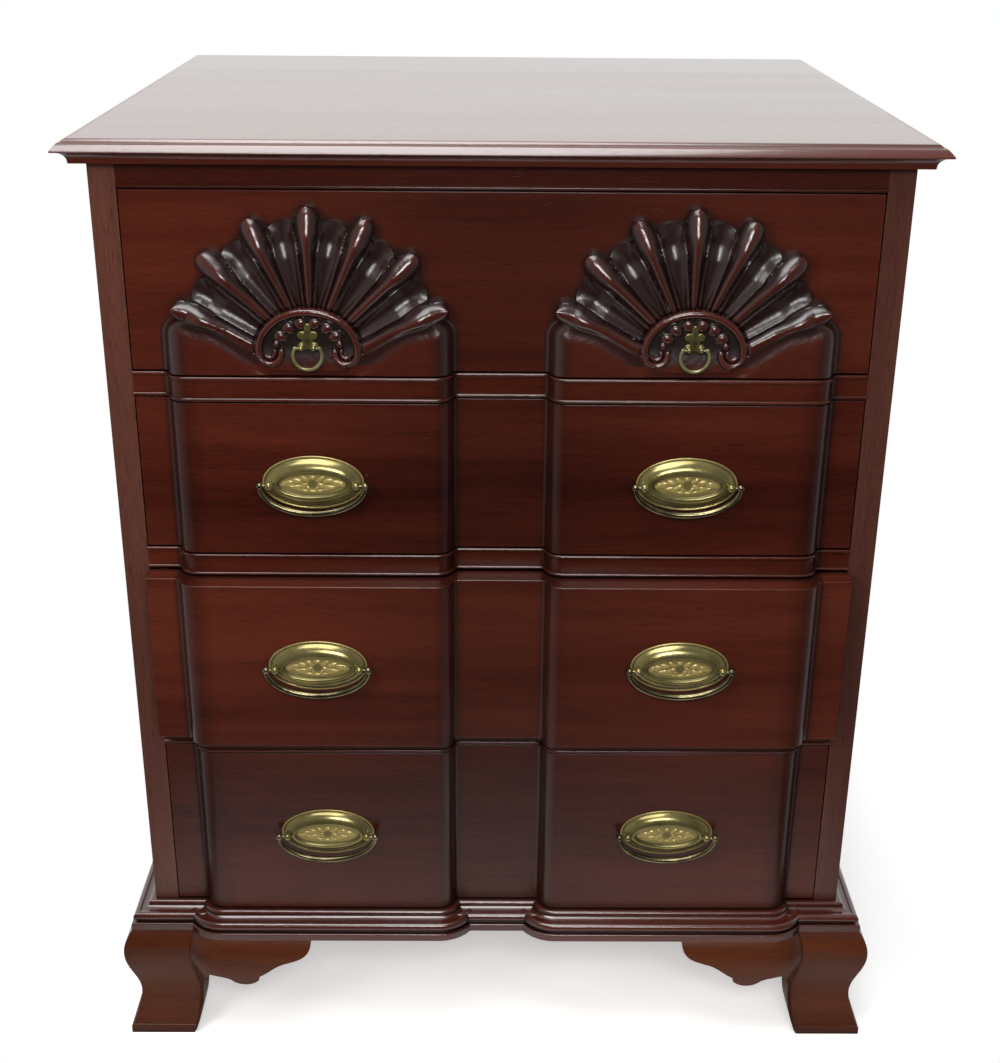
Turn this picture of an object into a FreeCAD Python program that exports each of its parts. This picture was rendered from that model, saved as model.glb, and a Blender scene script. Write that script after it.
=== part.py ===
import FreeCAD, Part
import math
import os
from FreeCAD import Vector

# A block front chest of four drawers on ogee bracket feet.
# X runs to the right, Y to the back and Z up. While the pieces are made, the
# front plane of the case is y = 0 and the floor is z = 0. At the end every
# piece moves by the same step, which puts the origin at the bottom centre.

# ---- overall sizes, in millimetres ----
TOP_WIDTH = 711.0
TOP_DEPTH = 610.0
TOP_THICKNESS = 19.8
TOP_OVERHANG = 23.0
TOP_REAR_OVERHANG = 7.0

# ---- heights from the floor up ----
FOOT_HEIGHT = 118.3
SILL_HEIGHT = 22.5
OPENING_HEIGHTS = (174.8, 161.4, 139.6, 153.1)
DIVIDER_HEIGHTS = (18.0, 20.2, 21.5)
TOP_RAIL_HEIGHT = 20.8

# ---- boards of the case ----
SIDE_THICKNESS = 19.0
STILE_WIDTH = 22.0
STILE_DEPTH = 20.0
RAIL_DEPTH = 70.0
TOP_RAIL_DEPTH = 45.0
BACK_THICKNESS = 8.0
BACK_LAP = 9.5
RUNNER_WIDTH = 28.0
GUIDE_HEIGHT = 15.0
DUST_PANEL_THICKNESS = 5.0
STOP_SIZE = (40.0, 16.0, 6.0)
STOP_CENTRE = 100.0

# ---- the blocked front, seen in plan ----
BLOCK_GAP = 72.0
BLOCK_MARGIN = 26.5
BLOCK_PROJECTION = 16.0
BLOCK_OUTER_RADIUS = 15.0
BLOCK_INNER_RADIUS = 5.0
BEAD_RADIUS = 1.6
BEAD_STRIP = 8.0

# ---- edge of the top board ----
NOSE_RADIUS = 4.5
NOSE_STEP = 6.1
NOSE_UNDERCUT = 2.4
NOSE_DROP = 4.0
QUIRK_INSET = 6.3
QUIRK_ROUND = 2.2
COVE_STEP = 1.5
COVE_WIDTH = 7.5
COVE_FILLET = 1.2

# ---- base moulding, measured out from the case ----
MOULDING_PROJECTION = 21.0
BAND_HEIGHT = 7.2
BAND_ROUND = 1.0
TORUS_RADIUS = 4.2
TORUS_SETBACK = 1.8
TORUS_LIFT = 1.0
TORUS_ARC = (-70.0, 125.0)
UPPER_ROUND = 3.0
UPPER_LEDGE = 3.0
UPPER_FILLET = 1.8

# ---- ogee bracket feet ----
FOOT_TOP_PROJECTION = 21.0
FOOT_BULGE_PROJECTION = 29.0
FOOT_BULGE_DEPTH = 25.0
FOOT_WAIST_PROJECTION = 18.0
FOOT_WAIST_DEPTH = 73.0
FOOT_PAD_HEIGHT = 9.3
FOOT_PAD_PROJECTION = 29.0
FOOT_PAD_ROUND = 2.0
FOOT_NECK_STEP = 3.0
FOOT_BACK = 8.0
BRACKET_TIP = 5.0
LEG_TOP_REACH = 52.0
LEG_FLOOR_REACH = 32.5

# ---- scrolled edge of a bracket: back from its tip, and down from its top ----
BRACKET_WAVE = ((6.0, 14.0), (19.0, 20.0), (30.0, 24.0), (42.0, 33.0), (50.0, 39.0))
BRACKET_NICK = (51.0, 44.0)
BRACKET_LOBE = ((63.5, 51.0), (78.0, 43.5))
BRACKET_HOLLOW = (87.0, 39.5)
HOLLOW_RUN = 14.5
HOLLOW_END_DROP = 38.0
LEG_TOP_DROP = 42.0
LEG_WAVE = ((6.0, 58.0), (9.0, 86.0))
LEG_ANKLE = (5.0, 108.0)
GLUE_BLOCK = 24.0
GLUE_BLOCK_LIFT = 8.0
REAR_BOARD_THICKNESS = 18.0
REAR_BOARD_REACH = 100.0

# ---- drawers, listed from the bottom one up where there are several ----
DRAWER_COUNT = 4
DRAWER_REVEAL = 1.0
RUNNING_CLEARANCE = 0.3
FRONT_THICKNESS = 20.0
FRONT_EDGE_ROUND = 1.0
DRAWER_REAR_ROOM = 32.0
DRAWER_SIDE_THICKNESS = 12.0
DRAWER_BACK_THICKNESS = 12.0
DRAWER_BOTTOM_THICKNESS = 6.0
DRAWER_BOTTOM_LIFT = 10.0
DRAWER_SIDE_DROP = 8.0
GROOVE_DEPTH = 5.0
TAIL_LENGTH = 12.0
TAIL_NARROW = 14.0
TAIL_WIDE = 20.0
TAIL_PITCH = 32.0
DRAWER_AJAR = (0.0, 22.0, 0.0, 0.0)

# ---- carved shells of the top drawer ----
SHELL_SHIFT = 2.0
SHELL_CENTRE_RISE = 22.7
SHELL_INSET = 5.5
SHELL_RIM_INSET = 9.5
SHELL_BACKING = 13.0
LOBE_COUNT = 7
LOBE_PITCH = 24.3
LOBE_AXIS_DEPTH = 9.0
LOBE_TIP_RADIUS = 10.0
LOBE_ROOT_RADIUS = 3.0
LOBE_ROOT = 34.0
FLUTE_TIP_RADIUS = 9.0
FLUTE_ROOT_RADIUS = 2.5
FLUTE_ROOT = 48.0
FLUTE_AXIS_DEPTH = 15.5
SHELL_SHOULDER = 45.0
ARCH_HALF_WIDTH = 40.7
ARCH_RISE = 33.0
ARCH_BEAD_RADIUS = 3.0
ARCH_DEPTH = 14.0
VOLUTE_RADIUS = 7.0
VOLUTE_DROP = 4.0
VOLUTE_PROUD = 0.6

# ---- oval pulls: plate, posts and bail ----
PULL_LIFTS = (1.0, 3.5, -2.0)
PLATE_WIDTH = 87.0
PLATE_HEIGHT = 48.2
PLATE_RIM_THICKNESS = 1.2
PLATE_RIM_WIDTH = 2.2
PLATE_DOME = ((4.5, 3.9), (7.5, 6.4), (10.5, 7.8), (12.0, 8.0))
PLATE_PANEL_INSET = 14.8
PLATE_PANEL_DEPTH = 2.5
PLATE_PANEL_SLOPE = 1.5
POST_SPREAD = 74.0
POST_RADIUS = 3.2
POST_HEAD_RADIUS = 3.8
POST_HOLE_CLEARANCE = 0.1
AXIS_STANDOFF = 10.0
BAIL_DROP = 25.2
BAIL_RADIUS = 2.7
BAIL_KNOB_RADIUS = 3.4
BAIL_PIN_RADIUS = 1.6
PIN_CLEARANCE = 0.05
KNOB_CLEARANCE = 0.8
PIN_REACH = 0.8

# ---- small pulls on the shells ----
SMALL_AXIS_RISE = 26.2
SMALL_FIELD_DEPTH = 13.0
SMALL_LOBE_RADIUS = 3.8
SMALL_LOBE_SPREAD = 4.6
SMALL_LOBE_RISE = 9.5
SMALL_TIP_RISE = 16.0
SMALL_PLATE_THICKNESS = 2.0
SMALL_POST_SPREAD = 10.4
SMALL_POST_RADIUS = 2.0
SMALL_HEAD_RADIUS = 2.3
SMALL_STANDOFF = 7.0
SMALL_BAIL_DROP = 18.2
SMALL_BAIL_RADIUS = 1.3
SMALL_KNOB_RADIUS = 1.9
SMALL_PIN_RADIUS = 1.0

# ---- fasteners ----
BOLT_RADIUS = 2.0
BOLT_HOLE_CLEARANCE = 0.2
BOLT_TAIL = 6.0
NUT_RADIUS = 4.5
NUT_THICKNESS = 3.5
SCREW_RADIUS = 2.2
SCREW_HEAD_RADIUS = 4.2
SCREW_HEAD_HEIGHT = 2.6
SCREW_LENGTH = 30.0
SCREW_CLEARANCE = 0.15
SCREW_END_MARGIN = 60.0
TOP_SCREWS_PER_SIDE = 3
BACK_SCREWS_PER_SIDE = 4

# ---- sizes that follow from those above ----
CASE_HALF = TOP_WIDTH / 2 - TOP_OVERHANG
BRACKET_REACH = LEG_TOP_REACH + HOLLOW_RUN + BRACKET_HOLLOW[0]
CASE_DEPTH = TOP_DEPTH - TOP_OVERHANG - TOP_REAR_OVERHANG
OPENING_HALF = CASE_HALF - STILE_WIDTH
SIDE_INNER = CASE_HALF - SIDE_THICKNESS
SILL_TOP = FOOT_HEIGHT + SILL_HEIGHT
BLOCK_TURN = math.acos(1 - BLOCK_PROJECTION / (BLOCK_OUTER_RADIUS + BLOCK_INNER_RADIUS))
BLOCK_SHOULDER = (BLOCK_OUTER_RADIUS + BLOCK_INNER_RADIUS) * math.sin(BLOCK_TURN)
BACK_INNER = CASE_DEPTH - BACK_THICKNESS
DRAWER_DEPTH = BACK_INNER - DRAWER_REAR_ROOM
BLOCK_WIDTH = OPENING_HALF - BLOCK_GAP / 2 - BLOCK_MARGIN
BLOCK_CENTRE = (BLOCK_GAP + BLOCK_WIDTH) / 2
SHELL_CENTRE = BLOCK_CENTRE - SHELL_SHIFT
SHELL_RADIUS = BLOCK_WIDTH / 2 - SHELL_INSET
SHELL_RIM_RADIUS = SHELL_RADIUS - SHELL_RIM_INSET
UPRIGHT = 90.0
FAR = 60.0
MARGIN = 1.0
JOIN_TOLERANCE = 1e-4
UP = Vector(0, 0, 1)


def opening_levels():
    """Bottom and top height of each drawer opening, from the bottom one up."""
    levels = []
    bottom = SILL_TOP
    for index, height in enumerate(OPENING_HEIGHTS):
        levels.append((bottom, bottom + height))
        if index < len(DIVIDER_HEIGHTS):
            bottom += height + DIVIDER_HEIGHTS[index]
    return levels


LEVELS = opening_levels()
CASE_TOP = LEVELS[-1][1] + TOP_RAIL_HEIGHT


# ---- general helpers ----
def box(x0, x1, y0, y1, z0, z1):
    """Block between two corners."""
    return Part.makeBox(x1 - x0, y1 - y0, z1 - z0, Vector(x0, y0, z0))


def mirrored(shape):
    """The same piece on the other side of the chest."""
    return shape.mirror(Vector(0, 0, 0), Vector(1, 0, 0))


def pair(shape):
    """Left and right copies of a piece, as one group of solids."""
    return Part.makeCompound([mirrored(shape), shape])


def fused(shapes):
    """One solid out of several that overlap."""
    return shapes[0].fuse(shapes[1:], JOIN_TOLERANCE).removeSplitter()


def rod(start, end, radius):
    """Round bar from one point to another."""
    return Part.makeCylinder(radius, (end - start).Length, start, end - start)


def outline_face(start, moves, place):
    """Face inside an outline drawn in two coordinates.

    Each move lists the points that follow the last one: one point makes a
    line, two make an arc and more make a smooth curve. The outline closes
    with a line, and place turns its two coordinates into a point in space.
    """
    edges = []
    here = start
    for move in list(moves) + [(start,)]:
        points = [place(*spot) for spot in (here,) + tuple(move)]
        here = move[-1]
        if (points[0] - points[-1]).Length < JOIN_TOLERANCE:
            continue
        if len(points) == 2:
            edges.append(Part.LineSegment(*points).toShape())
        elif len(points) == 3:
            edges.append(Part.Arc(*points).toShape())
        else:
            curve = Part.BSplineCurve()
            curve.interpolate(points)
            edges.append(curve.toShape())
    return Part.Face(Part.Wire(edges))


def bulged(start, end, bulge):
    """Middle point of an arc that leaves its chord by a share of its length."""
    across = (end[0] - start[0], end[1] - start[1])
    middle = ((start[0] + end[0]) / 2, (start[1] + end[1]) / 2)
    return (middle[0] + across[1] * bulge, middle[1] - across[0] * bulge)


# ---- the blocked line of the front ----
def shoulder_points(foot_x, inward, offset):
    """Points of one shoulder of a block, from the recess out to its face."""
    turn = BLOCK_TURN
    hollow = Vector(foot_x, -BLOCK_INNER_RADIUS, 0)
    crown = Vector(foot_x + inward * BLOCK_SHOULDER, BLOCK_OUTER_RADIUS - BLOCK_PROJECTION, 0)
    small = BLOCK_INNER_RADIUS - offset
    large = BLOCK_OUTER_RADIUS + offset

    def on_hollow(angle):
        return hollow + Vector(inward * math.sin(angle), math.cos(angle), 0) * small

    def on_crown(angle):
        return crown - Vector(inward * math.sin(angle), math.cos(angle), 0) * large

    return [on_hollow(0), on_hollow(turn / 2), on_hollow(turn), on_crown(turn / 2), on_crown(0)]


def front_line(half_width, offset, z):
    """Edges of the blocked front line, from left to right."""
    lift = Vector(0, 0, z)
    edges = []
    here = Vector(-half_width, -offset, 0)
    for centre in (-BLOCK_CENTRE, BLOCK_CENTRE):
        rising = shoulder_points(centre - BLOCK_WIDTH / 2, 1, offset)
        falling = shoulder_points(centre + BLOCK_WIDTH / 2, -1, offset)[::-1]
        for run in (rising, falling):
            edges.append(Part.LineSegment(here + lift, run[0] + lift).toShape())
            edges.append(Part.Arc(run[0] + lift, run[1] + lift, run[2] + lift).toShape())
            edges.append(Part.Arc(run[2] + lift, run[3] + lift, run[4] + lift).toShape())
            here = run[4]
    end = Vector(half_width, -offset, 0)
    edges.append(Part.LineSegment(here + lift, end + lift).toShape())
    return edges


def blocked_slab(half_width, back, z0, z1, offset=0.0):
    """Board with the blocked front line and a straight back."""
    edges = front_line(half_width, offset, z0)
    corners = [
        Vector(half_width, -offset, z0),
        Vector(half_width, back, z0),
        Vector(-half_width, back, z0),
        Vector(-half_width, -offset, z0),
    ]
    for first, second in zip(corners, corners[1:]):
        edges.append(Part.LineSegment(first, second).toShape())
    return Part.Face(Part.Wire(edges)).extrude(Vector(0, 0, z1 - z0))


# ---- moulded runs that go round the case ----
class Moulding:
    """A section that runs along the case and round the blocks.

    The section is drawn as distance out from the case and height above its
    base. Round a block it is the same section, set out from the block.
    """

    def __init__(self, start, moves, base):
        self.start = start
        self.moves = moves
        self.base = base

    def section(self, inner, place):
        """Face of the section, carried back to a distance inside the case."""
        first = (inner, self.start[1])
        last = (inner, self.moves[-1][-1][1])
        return outline_face(first, [(self.start,)] + list(self.moves) + [(last,)], place)

    def along_front(self, x0, x1, face_y, inner):
        """Straight run across the front."""
        face = self.section(inner, lambda d, h: Vector(x0, face_y - d, self.base + h))
        return face.extrude(Vector(x1 - x0, 0, 0))

    def along_side(self, y0, y1, inner):
        """Straight run along the right side."""
        face = self.section(inner, lambda d, h: Vector(CASE_HALF + d, y0, self.base + h))
        return face.extrude(Vector(0, y1 - y0, 0))

    def round_shoulder(self, x, quarter):
        """Turn round one shoulder of a block, to the right or to the left."""
        y = BLOCK_OUTER_RADIUS - BLOCK_PROJECTION
        reach = BLOCK_OUTER_RADIUS

        def place(d, h):
            return Vector(x, y - reach - d, self.base + h)

        face = self.section(-reach, place)
        return face.revolve(Vector(x, y, 0), UP, 90.0 * quarter)

    def on_block(self, x0, x1):
        """Straight run across a block's face."""
        return self.along_front(x0, x1, -BLOCK_PROJECTION, -BLOCK_OUTER_RADIUS)


def mitre_waste(height0, height1, of_front):
    """Wood past the mitre of the front right corner."""
    reach = CASE_HALF + FAR
    if of_front:
        corners = [(CASE_HALF, 0), (reach, -FAR), (reach, FAR), (CASE_HALF, FAR)]
    else:
        corners = [(CASE_HALF, 0), (reach, -FAR), (-FAR, -FAR), (-FAR, 0)]
    points = [Vector(x, y, height0) for x, y in corners]
    face = Part.Face(Part.makePolygon(points + points[:1]))
    return face.extrude(Vector(0, 0, height1 - height0))


# ---- top board ----
def top_edge():
    """Outline of the top's moulded edge, out from the case and up."""
    nose = TOP_THICKNESS - NOSE_STEP - NOSE_RADIUS
    tip = (TOP_OVERHANG, nose)
    under = (TOP_OVERHANG - NOSE_UNDERCUT, nose - NOSE_DROP)
    cove_top = (under[0] - COVE_STEP, under[1])
    cove_end = (cove_top[0] - COVE_WIDTH, COVE_FILLET)
    crest = (TOP_OVERHANG - NOSE_RADIUS, nose + NOSE_RADIUS)
    quirk = TOP_OVERHANG - QUIRK_INSET
    eased = (quirk, TOP_THICKNESS - QUIRK_ROUND)
    rim = (quirk - QUIRK_ROUND, TOP_THICKNESS)
    quarter = math.tan(math.pi / 8) / 2
    start = (cove_end[0], 0.0)
    moves = [
        (cove_end,),
        (bulged(cove_end, cove_top, -0.2), cove_top),
        (under,),
        (bulged(under, tip, 0.15), tip),
        (bulged(tip, crest, quarter), crest),
        ((quirk, crest[1]),),
        (eased,),
        (bulged(eased, rim, quarter), rim),
    ]
    return Moulding(start, moves, CASE_TOP)


def top_screw_spots():
    """Foot of each screw that holds the top, one side."""
    x = SIDE_INNER - RUNNER_WIDTH / 2
    span = BACK_INNER - TOP_RAIL_DEPTH - 2 * SCREW_END_MARGIN
    first = TOP_RAIL_DEPTH + SCREW_END_MARGIN
    step = span / (TOP_SCREWS_PER_SIDE - 1)
    return [Vector(x, first + step * n, LEVELS[-1][1]) for n in range(TOP_SCREWS_PER_SIDE)]


def back_screw_spots():
    """Head of each screw that holds the back, one side."""
    x = SIDE_INNER + BACK_LAP / 2
    span = CASE_TOP - SILL_TOP - 2 * SCREW_END_MARGIN
    step = span / (BACK_SCREWS_PER_SIDE - 1)
    first = SILL_TOP + SCREW_END_MARGIN
    return [Vector(x, CASE_DEPTH, first + step * n) for n in range(BACK_SCREWS_PER_SIDE)]


def screw(spot, direction, clearance=0.0):
    """Countersunk screw whose head is flush with the face it enters."""
    head = Part.makeCone(
        SCREW_HEAD_RADIUS + clearance, SCREW_RADIUS + clearance, SCREW_HEAD_HEIGHT, spot, direction
    )
    shank = Part.makeCylinder(SCREW_RADIUS + clearance, SCREW_LENGTH + clearance, spot, direction)
    return head.fuse(shank).removeSplitter()


def screw_holes():
    """Room for every screw of the case."""
    holes = [screw(spot, UP, SCREW_CLEARANCE) for spot in top_screw_spots()]
    holes += [screw(spot, Vector(0, -1, 0), SCREW_CLEARANCE) for spot in back_screw_spots()]
    return holes + [mirrored(hole) for hole in holes]


def case_screws():
    """The screws of the top and the back."""
    screws = [screw(spot, UP) for spot in top_screw_spots()]
    screws += [screw(spot, Vector(0, -1, 0)) for spot in back_screw_spots()]
    return Part.makeCompound(screws + [mirrored(one) for one in screws])


def top_board():
    """Top with its moulded front and side edges, mitred at the corners."""
    edge = top_edge()
    reach = CASE_HALF + TOP_OVERHANG
    rear = CASE_DEPTH + TOP_REAR_OVERHANG
    across = edge.along_front(-reach, reach, 0.0, -rear)
    right = edge.along_side(-TOP_OVERHANG, rear, -CASE_HALF)
    deep = right.fuse(mirrored(right)).removeSplitter()
    return across.common(deep).cut(screw_holes())


# ---- case ----
def case_side():
    """Right side board, rabbeted for the back."""
    board = box(SIDE_INNER, CASE_HALF, STILE_DEPTH, CASE_DEPTH, FOOT_HEIGHT, CASE_TOP)
    rabbet = box(SIDE_INNER, SIDE_INNER + BACK_LAP, BACK_INNER, CASE_DEPTH, FOOT_HEIGHT, CASE_TOP)
    return board.cut(rabbet).cut(screw_holes())


def front_stile():
    """Right stile that faces the front edge of the side."""
    return box(OPENING_HALF, CASE_HALF, 0, STILE_DEPTH, FOOT_HEIGHT, CASE_TOP)


def back_panel():
    """Thin back let into the rabbets of the sides."""
    half = SIDE_INNER + BACK_LAP
    panel = box(-half, half, BACK_INNER, CASE_DEPTH, FOOT_HEIGHT, CASE_TOP)
    return panel.cut(screw_holes())


def top_rail():
    """Straight rail under the top, with a bead along its lower edge."""
    z0 = LEVELS[-1][1]
    bead = ((BEAD_RADIUS, BEAD_RADIUS), (0.0, 2 * BEAD_RADIUS))
    moves = [bead, ((0.0, TOP_RAIL_HEIGHT),)]
    rail = Moulding((0.0, 0.0), moves, z0)
    return rail.along_front(-OPENING_HALF, OPENING_HALF, 0.0, -TOP_RAIL_DEPTH)


def divider(z0, height):
    """Blocked rail between two drawers, beaded along both edges."""
    r = BEAD_RADIUS
    moves = [
        ((r, r), (0.0, 2 * r)),
        ((0.0, height - 2 * r),),
        ((r, height - r), (0.0, height)),
    ]
    strip = Moulding((0.0, 0.0), moves, z0)
    section = strip.section(-BEAD_STRIP, lambda d, h: Vector(-OPENING_HALF, -d, z0 + h))
    path = Part.Wire(front_line(OPENING_HALF, 0.0, z0))
    facing = path.makePipeShell([section.OuterWire], True, False)
    plank = blocked_slab(OPENING_HALF, RAIL_DEPTH, z0, z0 + height, -BEAD_STRIP / 2)
    return fused([plank, facing])


def base_rail():
    """Rail under the bottom drawer, behind the base moulding."""
    return box(-OPENING_HALF, OPENING_HALF, 0, STILE_DEPTH, FOOT_HEIGHT, SILL_TOP)


def case_bottom():
    """Bottom board, on which the lowest drawer slides."""
    return box(-SIDE_INNER, SIDE_INNER, STILE_DEPTH, BACK_INNER, FOOT_HEIGHT, SILL_TOP)


def top_kickers():
    """Strips under the top at the sides and the back."""
    z0 = LEVELS[-1][1]
    rear = BACK_INNER - RUNNER_WIDTH
    inner = SIDE_INNER - RUNNER_WIDTH
    side = box(inner, SIDE_INNER, TOP_RAIL_DEPTH, BACK_INNER, z0, CASE_TOP)
    across = box(-inner, inner, rear, BACK_INNER, z0, CASE_TOP)
    return Part.makeCompound([part.cut(screw_holes()) for part in (mirrored(side), side, across)])


def drawer_runners():
    """Strips that carry the upper drawers, each with a guide along the side."""
    runners = []
    for (bottom, _), height in zip(LEVELS[1:], DIVIDER_HEIGHTS):
        inner = SIDE_INNER - RUNNER_WIDTH
        flat = box(inner, SIDE_INNER, RAIL_DEPTH, BACK_INNER, bottom - height, bottom)
        guide = box(OPENING_HALF, SIDE_INNER, RAIL_DEPTH, BACK_INNER, bottom, bottom + GUIDE_HEIGHT)
        runner = fused([flat, guide])
        runners += [mirrored(runner), runner]
    return Part.makeCompound(runners)


def dust_panels():
    """Thin boards between the runners of two drawers."""
    inner = SIDE_INNER - RUNNER_WIDTH
    panels = []
    for (bottom, _), height in zip(LEVELS[1:], DIVIDER_HEIGHTS):
        low = bottom - (height + DUST_PANEL_THICKNESS) / 2
        high = low + DUST_PANEL_THICKNESS
        panels.append(box(-inner, inner, RAIL_DEPTH, BACK_INNER, low, high))
    return Part.makeCompound(panels)


def drawer_stops():
    """Blocks behind each drawer front that stop it flush with the case."""
    width, depth, height = STOP_SIZE
    near = FRONT_THICKNESS + RUNNING_CLEARANCE
    x0 = STOP_CENTRE - width / 2
    stops = []
    for bottom, _ in LEVELS:
        stop = box(x0, x0 + width, near, near + depth, bottom, bottom + height)
        stops += [mirrored(stop), stop]
    return Part.makeCompound(stops)


# ---- base moulding ----
def base_section():
    """Section of the base moulding."""
    out = MOULDING_PROJECTION
    top = SILL_HEIGHT
    torus_x = out - TORUS_SETBACK - TORUS_RADIUS
    torus_z = BAND_HEIGHT + TORUS_RADIUS + TORUS_LIFT
    low, high = [math.radians(angle) for angle in TORUS_ARC]
    torus_low = (torus_x + TORUS_RADIUS * math.cos(low), torus_z + TORUS_RADIUS * math.sin(low))
    torus_high = (torus_x + TORUS_RADIUS * math.cos(high), torus_z + TORUS_RADIUS * math.sin(high))
    band_low = (out, BAND_HEIGHT - BAND_ROUND)
    band_top = (out - BAND_ROUND, BAND_HEIGHT)
    ledge = UPPER_LEDGE + UPPER_ROUND
    cove = (ledge, top - UPPER_ROUND - UPPER_FILLET)
    round_low = (ledge, top - UPPER_ROUND)
    round_top = (UPPER_LEDGE, top)
    moves = [
        (band_low,),
        (bulged(band_low, band_top, 0.2), band_top),
        ((torus_low[0], BAND_HEIGHT),),
        (torus_low,),
        ((torus_x + TORUS_RADIUS, torus_z), torus_high),
        (bulged(torus_high, cove, -0.12), cove),
        (round_low,),
        (bulged(round_low, round_top, 0.2), round_top),
        ((0.0, top),),
    ]
    return Moulding((out, 0.0), moves, FOOT_HEIGHT)


def base_moulding_front():
    """Front length, which follows both blocks and is mitred at its ends."""
    moulding = base_section()
    reach = CASE_HALF + MOULDING_PROJECTION
    runs = [moulding.along_front(-reach, reach, 0.0, 0.0)]
    for centre in (-BLOCK_CENTRE, BLOCK_CENTRE):
        left = centre - BLOCK_WIDTH / 2 + BLOCK_SHOULDER
        right = centre + BLOCK_WIDTH / 2 - BLOCK_SHOULDER
        runs.append(moulding.on_block(left, right))
        runs.append(moulding.round_shoulder(left, -1))
        runs.append(moulding.round_shoulder(right, 1))
    waste = mitre_waste(FOOT_HEIGHT - MARGIN, SILL_TOP + MARGIN, True)
    return fused(runs).cut([waste, mirrored(waste)])


def base_moulding_side():
    """Right side length, mitred at the front."""
    run = base_section().along_side(-MOULDING_PROJECTION, CASE_DEPTH, 0.0)
    return run.cut(mitre_waste(FOOT_HEIGHT - MARGIN, SILL_TOP + MARGIN, False))


# ---- feet ----
def foot_section():
    """Ogee section of a bracket foot, from the floor up."""
    pad = FOOT_PAD_HEIGHT
    waist = FOOT_HEIGHT - FOOT_WAIST_DEPTH
    bulge = FOOT_HEIGHT - FOOT_BULGE_DEPTH
    middle = (FOOT_WAIST_PROJECTION + FOOT_BULGE_PROJECTION) / 2
    pad_side = (FOOT_PAD_PROJECTION, pad - FOOT_PAD_ROUND)
    pad_top = (FOOT_PAD_PROJECTION - FOOT_PAD_ROUND, pad)
    moves = [
        (pad_side,),
        (bulged(pad_side, pad_top, 0.2), pad_top),
        ((FOOT_WAIST_PROJECTION + FOOT_NECK_STEP, (pad + waist) / 2),
         (FOOT_WAIST_PROJECTION, waist), (middle, (waist + bulge) / 2),
         (FOOT_BULGE_PROJECTION, bulge), (FOOT_TOP_PROJECTION, FOOT_HEIGHT)),
    ]
    return Moulding((FOOT_PAD_PROJECTION, 0.0), moves, 0.0)


def bracket_outline(place):
    """Face of the bracket, drawn inward from the case corner and down."""
    floor = FOOT_HEIGHT + MARGIN

    def from_tip(spot):
        return (BRACKET_REACH - spot[0], spot[1])

    def from_leg(spot):
        return (LEG_TOP_REACH - spot[0], spot[1])

    wave = tuple(from_tip(spot) for spot in BRACKET_WAVE)
    lobe = tuple(from_tip(spot) for spot in BRACKET_LOBE)
    hollow_end = (LEG_TOP_REACH + FOOT_NECK_STEP, HOLLOW_END_DROP)
    ankle = (LEG_FLOOR_REACH + LEG_ANKLE[0], LEG_ANKLE[1])
    moves = [
        ((BRACKET_REACH, -MARGIN),),
        ((BRACKET_REACH, BRACKET_TIP),),
        wave,
        (from_tip(BRACKET_NICK),),
        lobe,
        (from_tip(BRACKET_HOLLOW), hollow_end),
        ((LEG_TOP_REACH, LEG_TOP_DROP),),
        tuple(from_leg(spot) for spot in LEG_WAVE) + (ankle, (LEG_FLOOR_REACH, floor)),
        ((-FAR, floor),),
    ]
    return outline_face((-FAR, -MARGIN), moves, place)


def front_bracket():
    """Right front bracket, whose upper part steps out with the block."""
    section = foot_section()
    tip = CASE_HALF - BRACKET_REACH
    shoulder = BLOCK_CENTRE + BLOCK_WIDTH / 2 - BLOCK_SHOULDER
    runs = [
        section.along_front(tip, CASE_HALF + FOOT_BULGE_PROJECTION, 0.0, -FOOT_BACK),
        section.on_block(tip, shoulder),
        section.round_shoulder(shoulder, 1),
    ]

    def place(inward, down):
        return Vector(CASE_HALF - inward, -FAR * 2, FOOT_HEIGHT - down)

    blank = bracket_outline(place).extrude(Vector(0, FAR * 4, 0))
    high = FOOT_HEIGHT + MARGIN
    waste = mitre_waste(-MARGIN, high, True)
    corner = box(CASE_HALF - FOOT_BACK, CASE_HALF + FAR, 0, FAR, -MARGIN, high)
    return fused(runs).common(blank).cut([waste, corner])


def side_bracket(corner_y, inward):
    """Bracket along the right side, from a corner of the case inward."""
    section = foot_section()
    reach = FOOT_BULGE_PROJECTION
    start = corner_y - reach * inward
    end = corner_y + BRACKET_REACH * inward
    run = section.along_side(min(start, end), max(start, end), -FOOT_BACK)

    def place(along, down):
        return Vector(CASE_HALF - FAR, corner_y + along * inward, FOOT_HEIGHT - down)

    blank = bracket_outline(place).extrude(Vector(FAR * 2, 0, 0))
    return run.common(blank)


def front_foot():
    """Front bracket and side bracket of the right front foot."""
    side = side_bracket(0.0, 1)
    waste = mitre_waste(-MARGIN, FOOT_HEIGHT + MARGIN, False)
    return Part.makeCompound([front_bracket(), side.cut(waste)])


def rear_foot():
    """Side bracket and plain rear board of the right rear foot."""
    high = FOOT_HEIGHT + MARGIN
    behind = box(0, CASE_HALF + FAR, CASE_DEPTH, CASE_DEPTH + FAR, -MARGIN, high)
    side = side_bracket(CASE_DEPTH, -1).cut(behind)
    outer = CASE_HALF - FOOT_BACK
    inner = outer - REAR_BOARD_REACH
    leg = CASE_HALF - LEG_TOP_REACH
    y0 = CASE_DEPTH - FOOT_BACK - REAR_BOARD_THICKNESS
    corners = [
        (outer, 0), (CASE_HALF - LEG_FLOOR_REACH, 0), (leg, FOOT_HEIGHT - FOOT_WAIST_DEPTH),
        (inner, FOOT_HEIGHT - FOOT_BULGE_DEPTH), (inner, FOOT_HEIGHT), (outer, FOOT_HEIGHT),
    ]
    points = [Vector(x, y0, z) for x, z in corners]
    board = Part.Face(Part.makePolygon(points + points[:1])).extrude(
        Vector(0, REAR_BOARD_THICKNESS, 0)
    )
    return Part.makeCompound([side, board])


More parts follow.
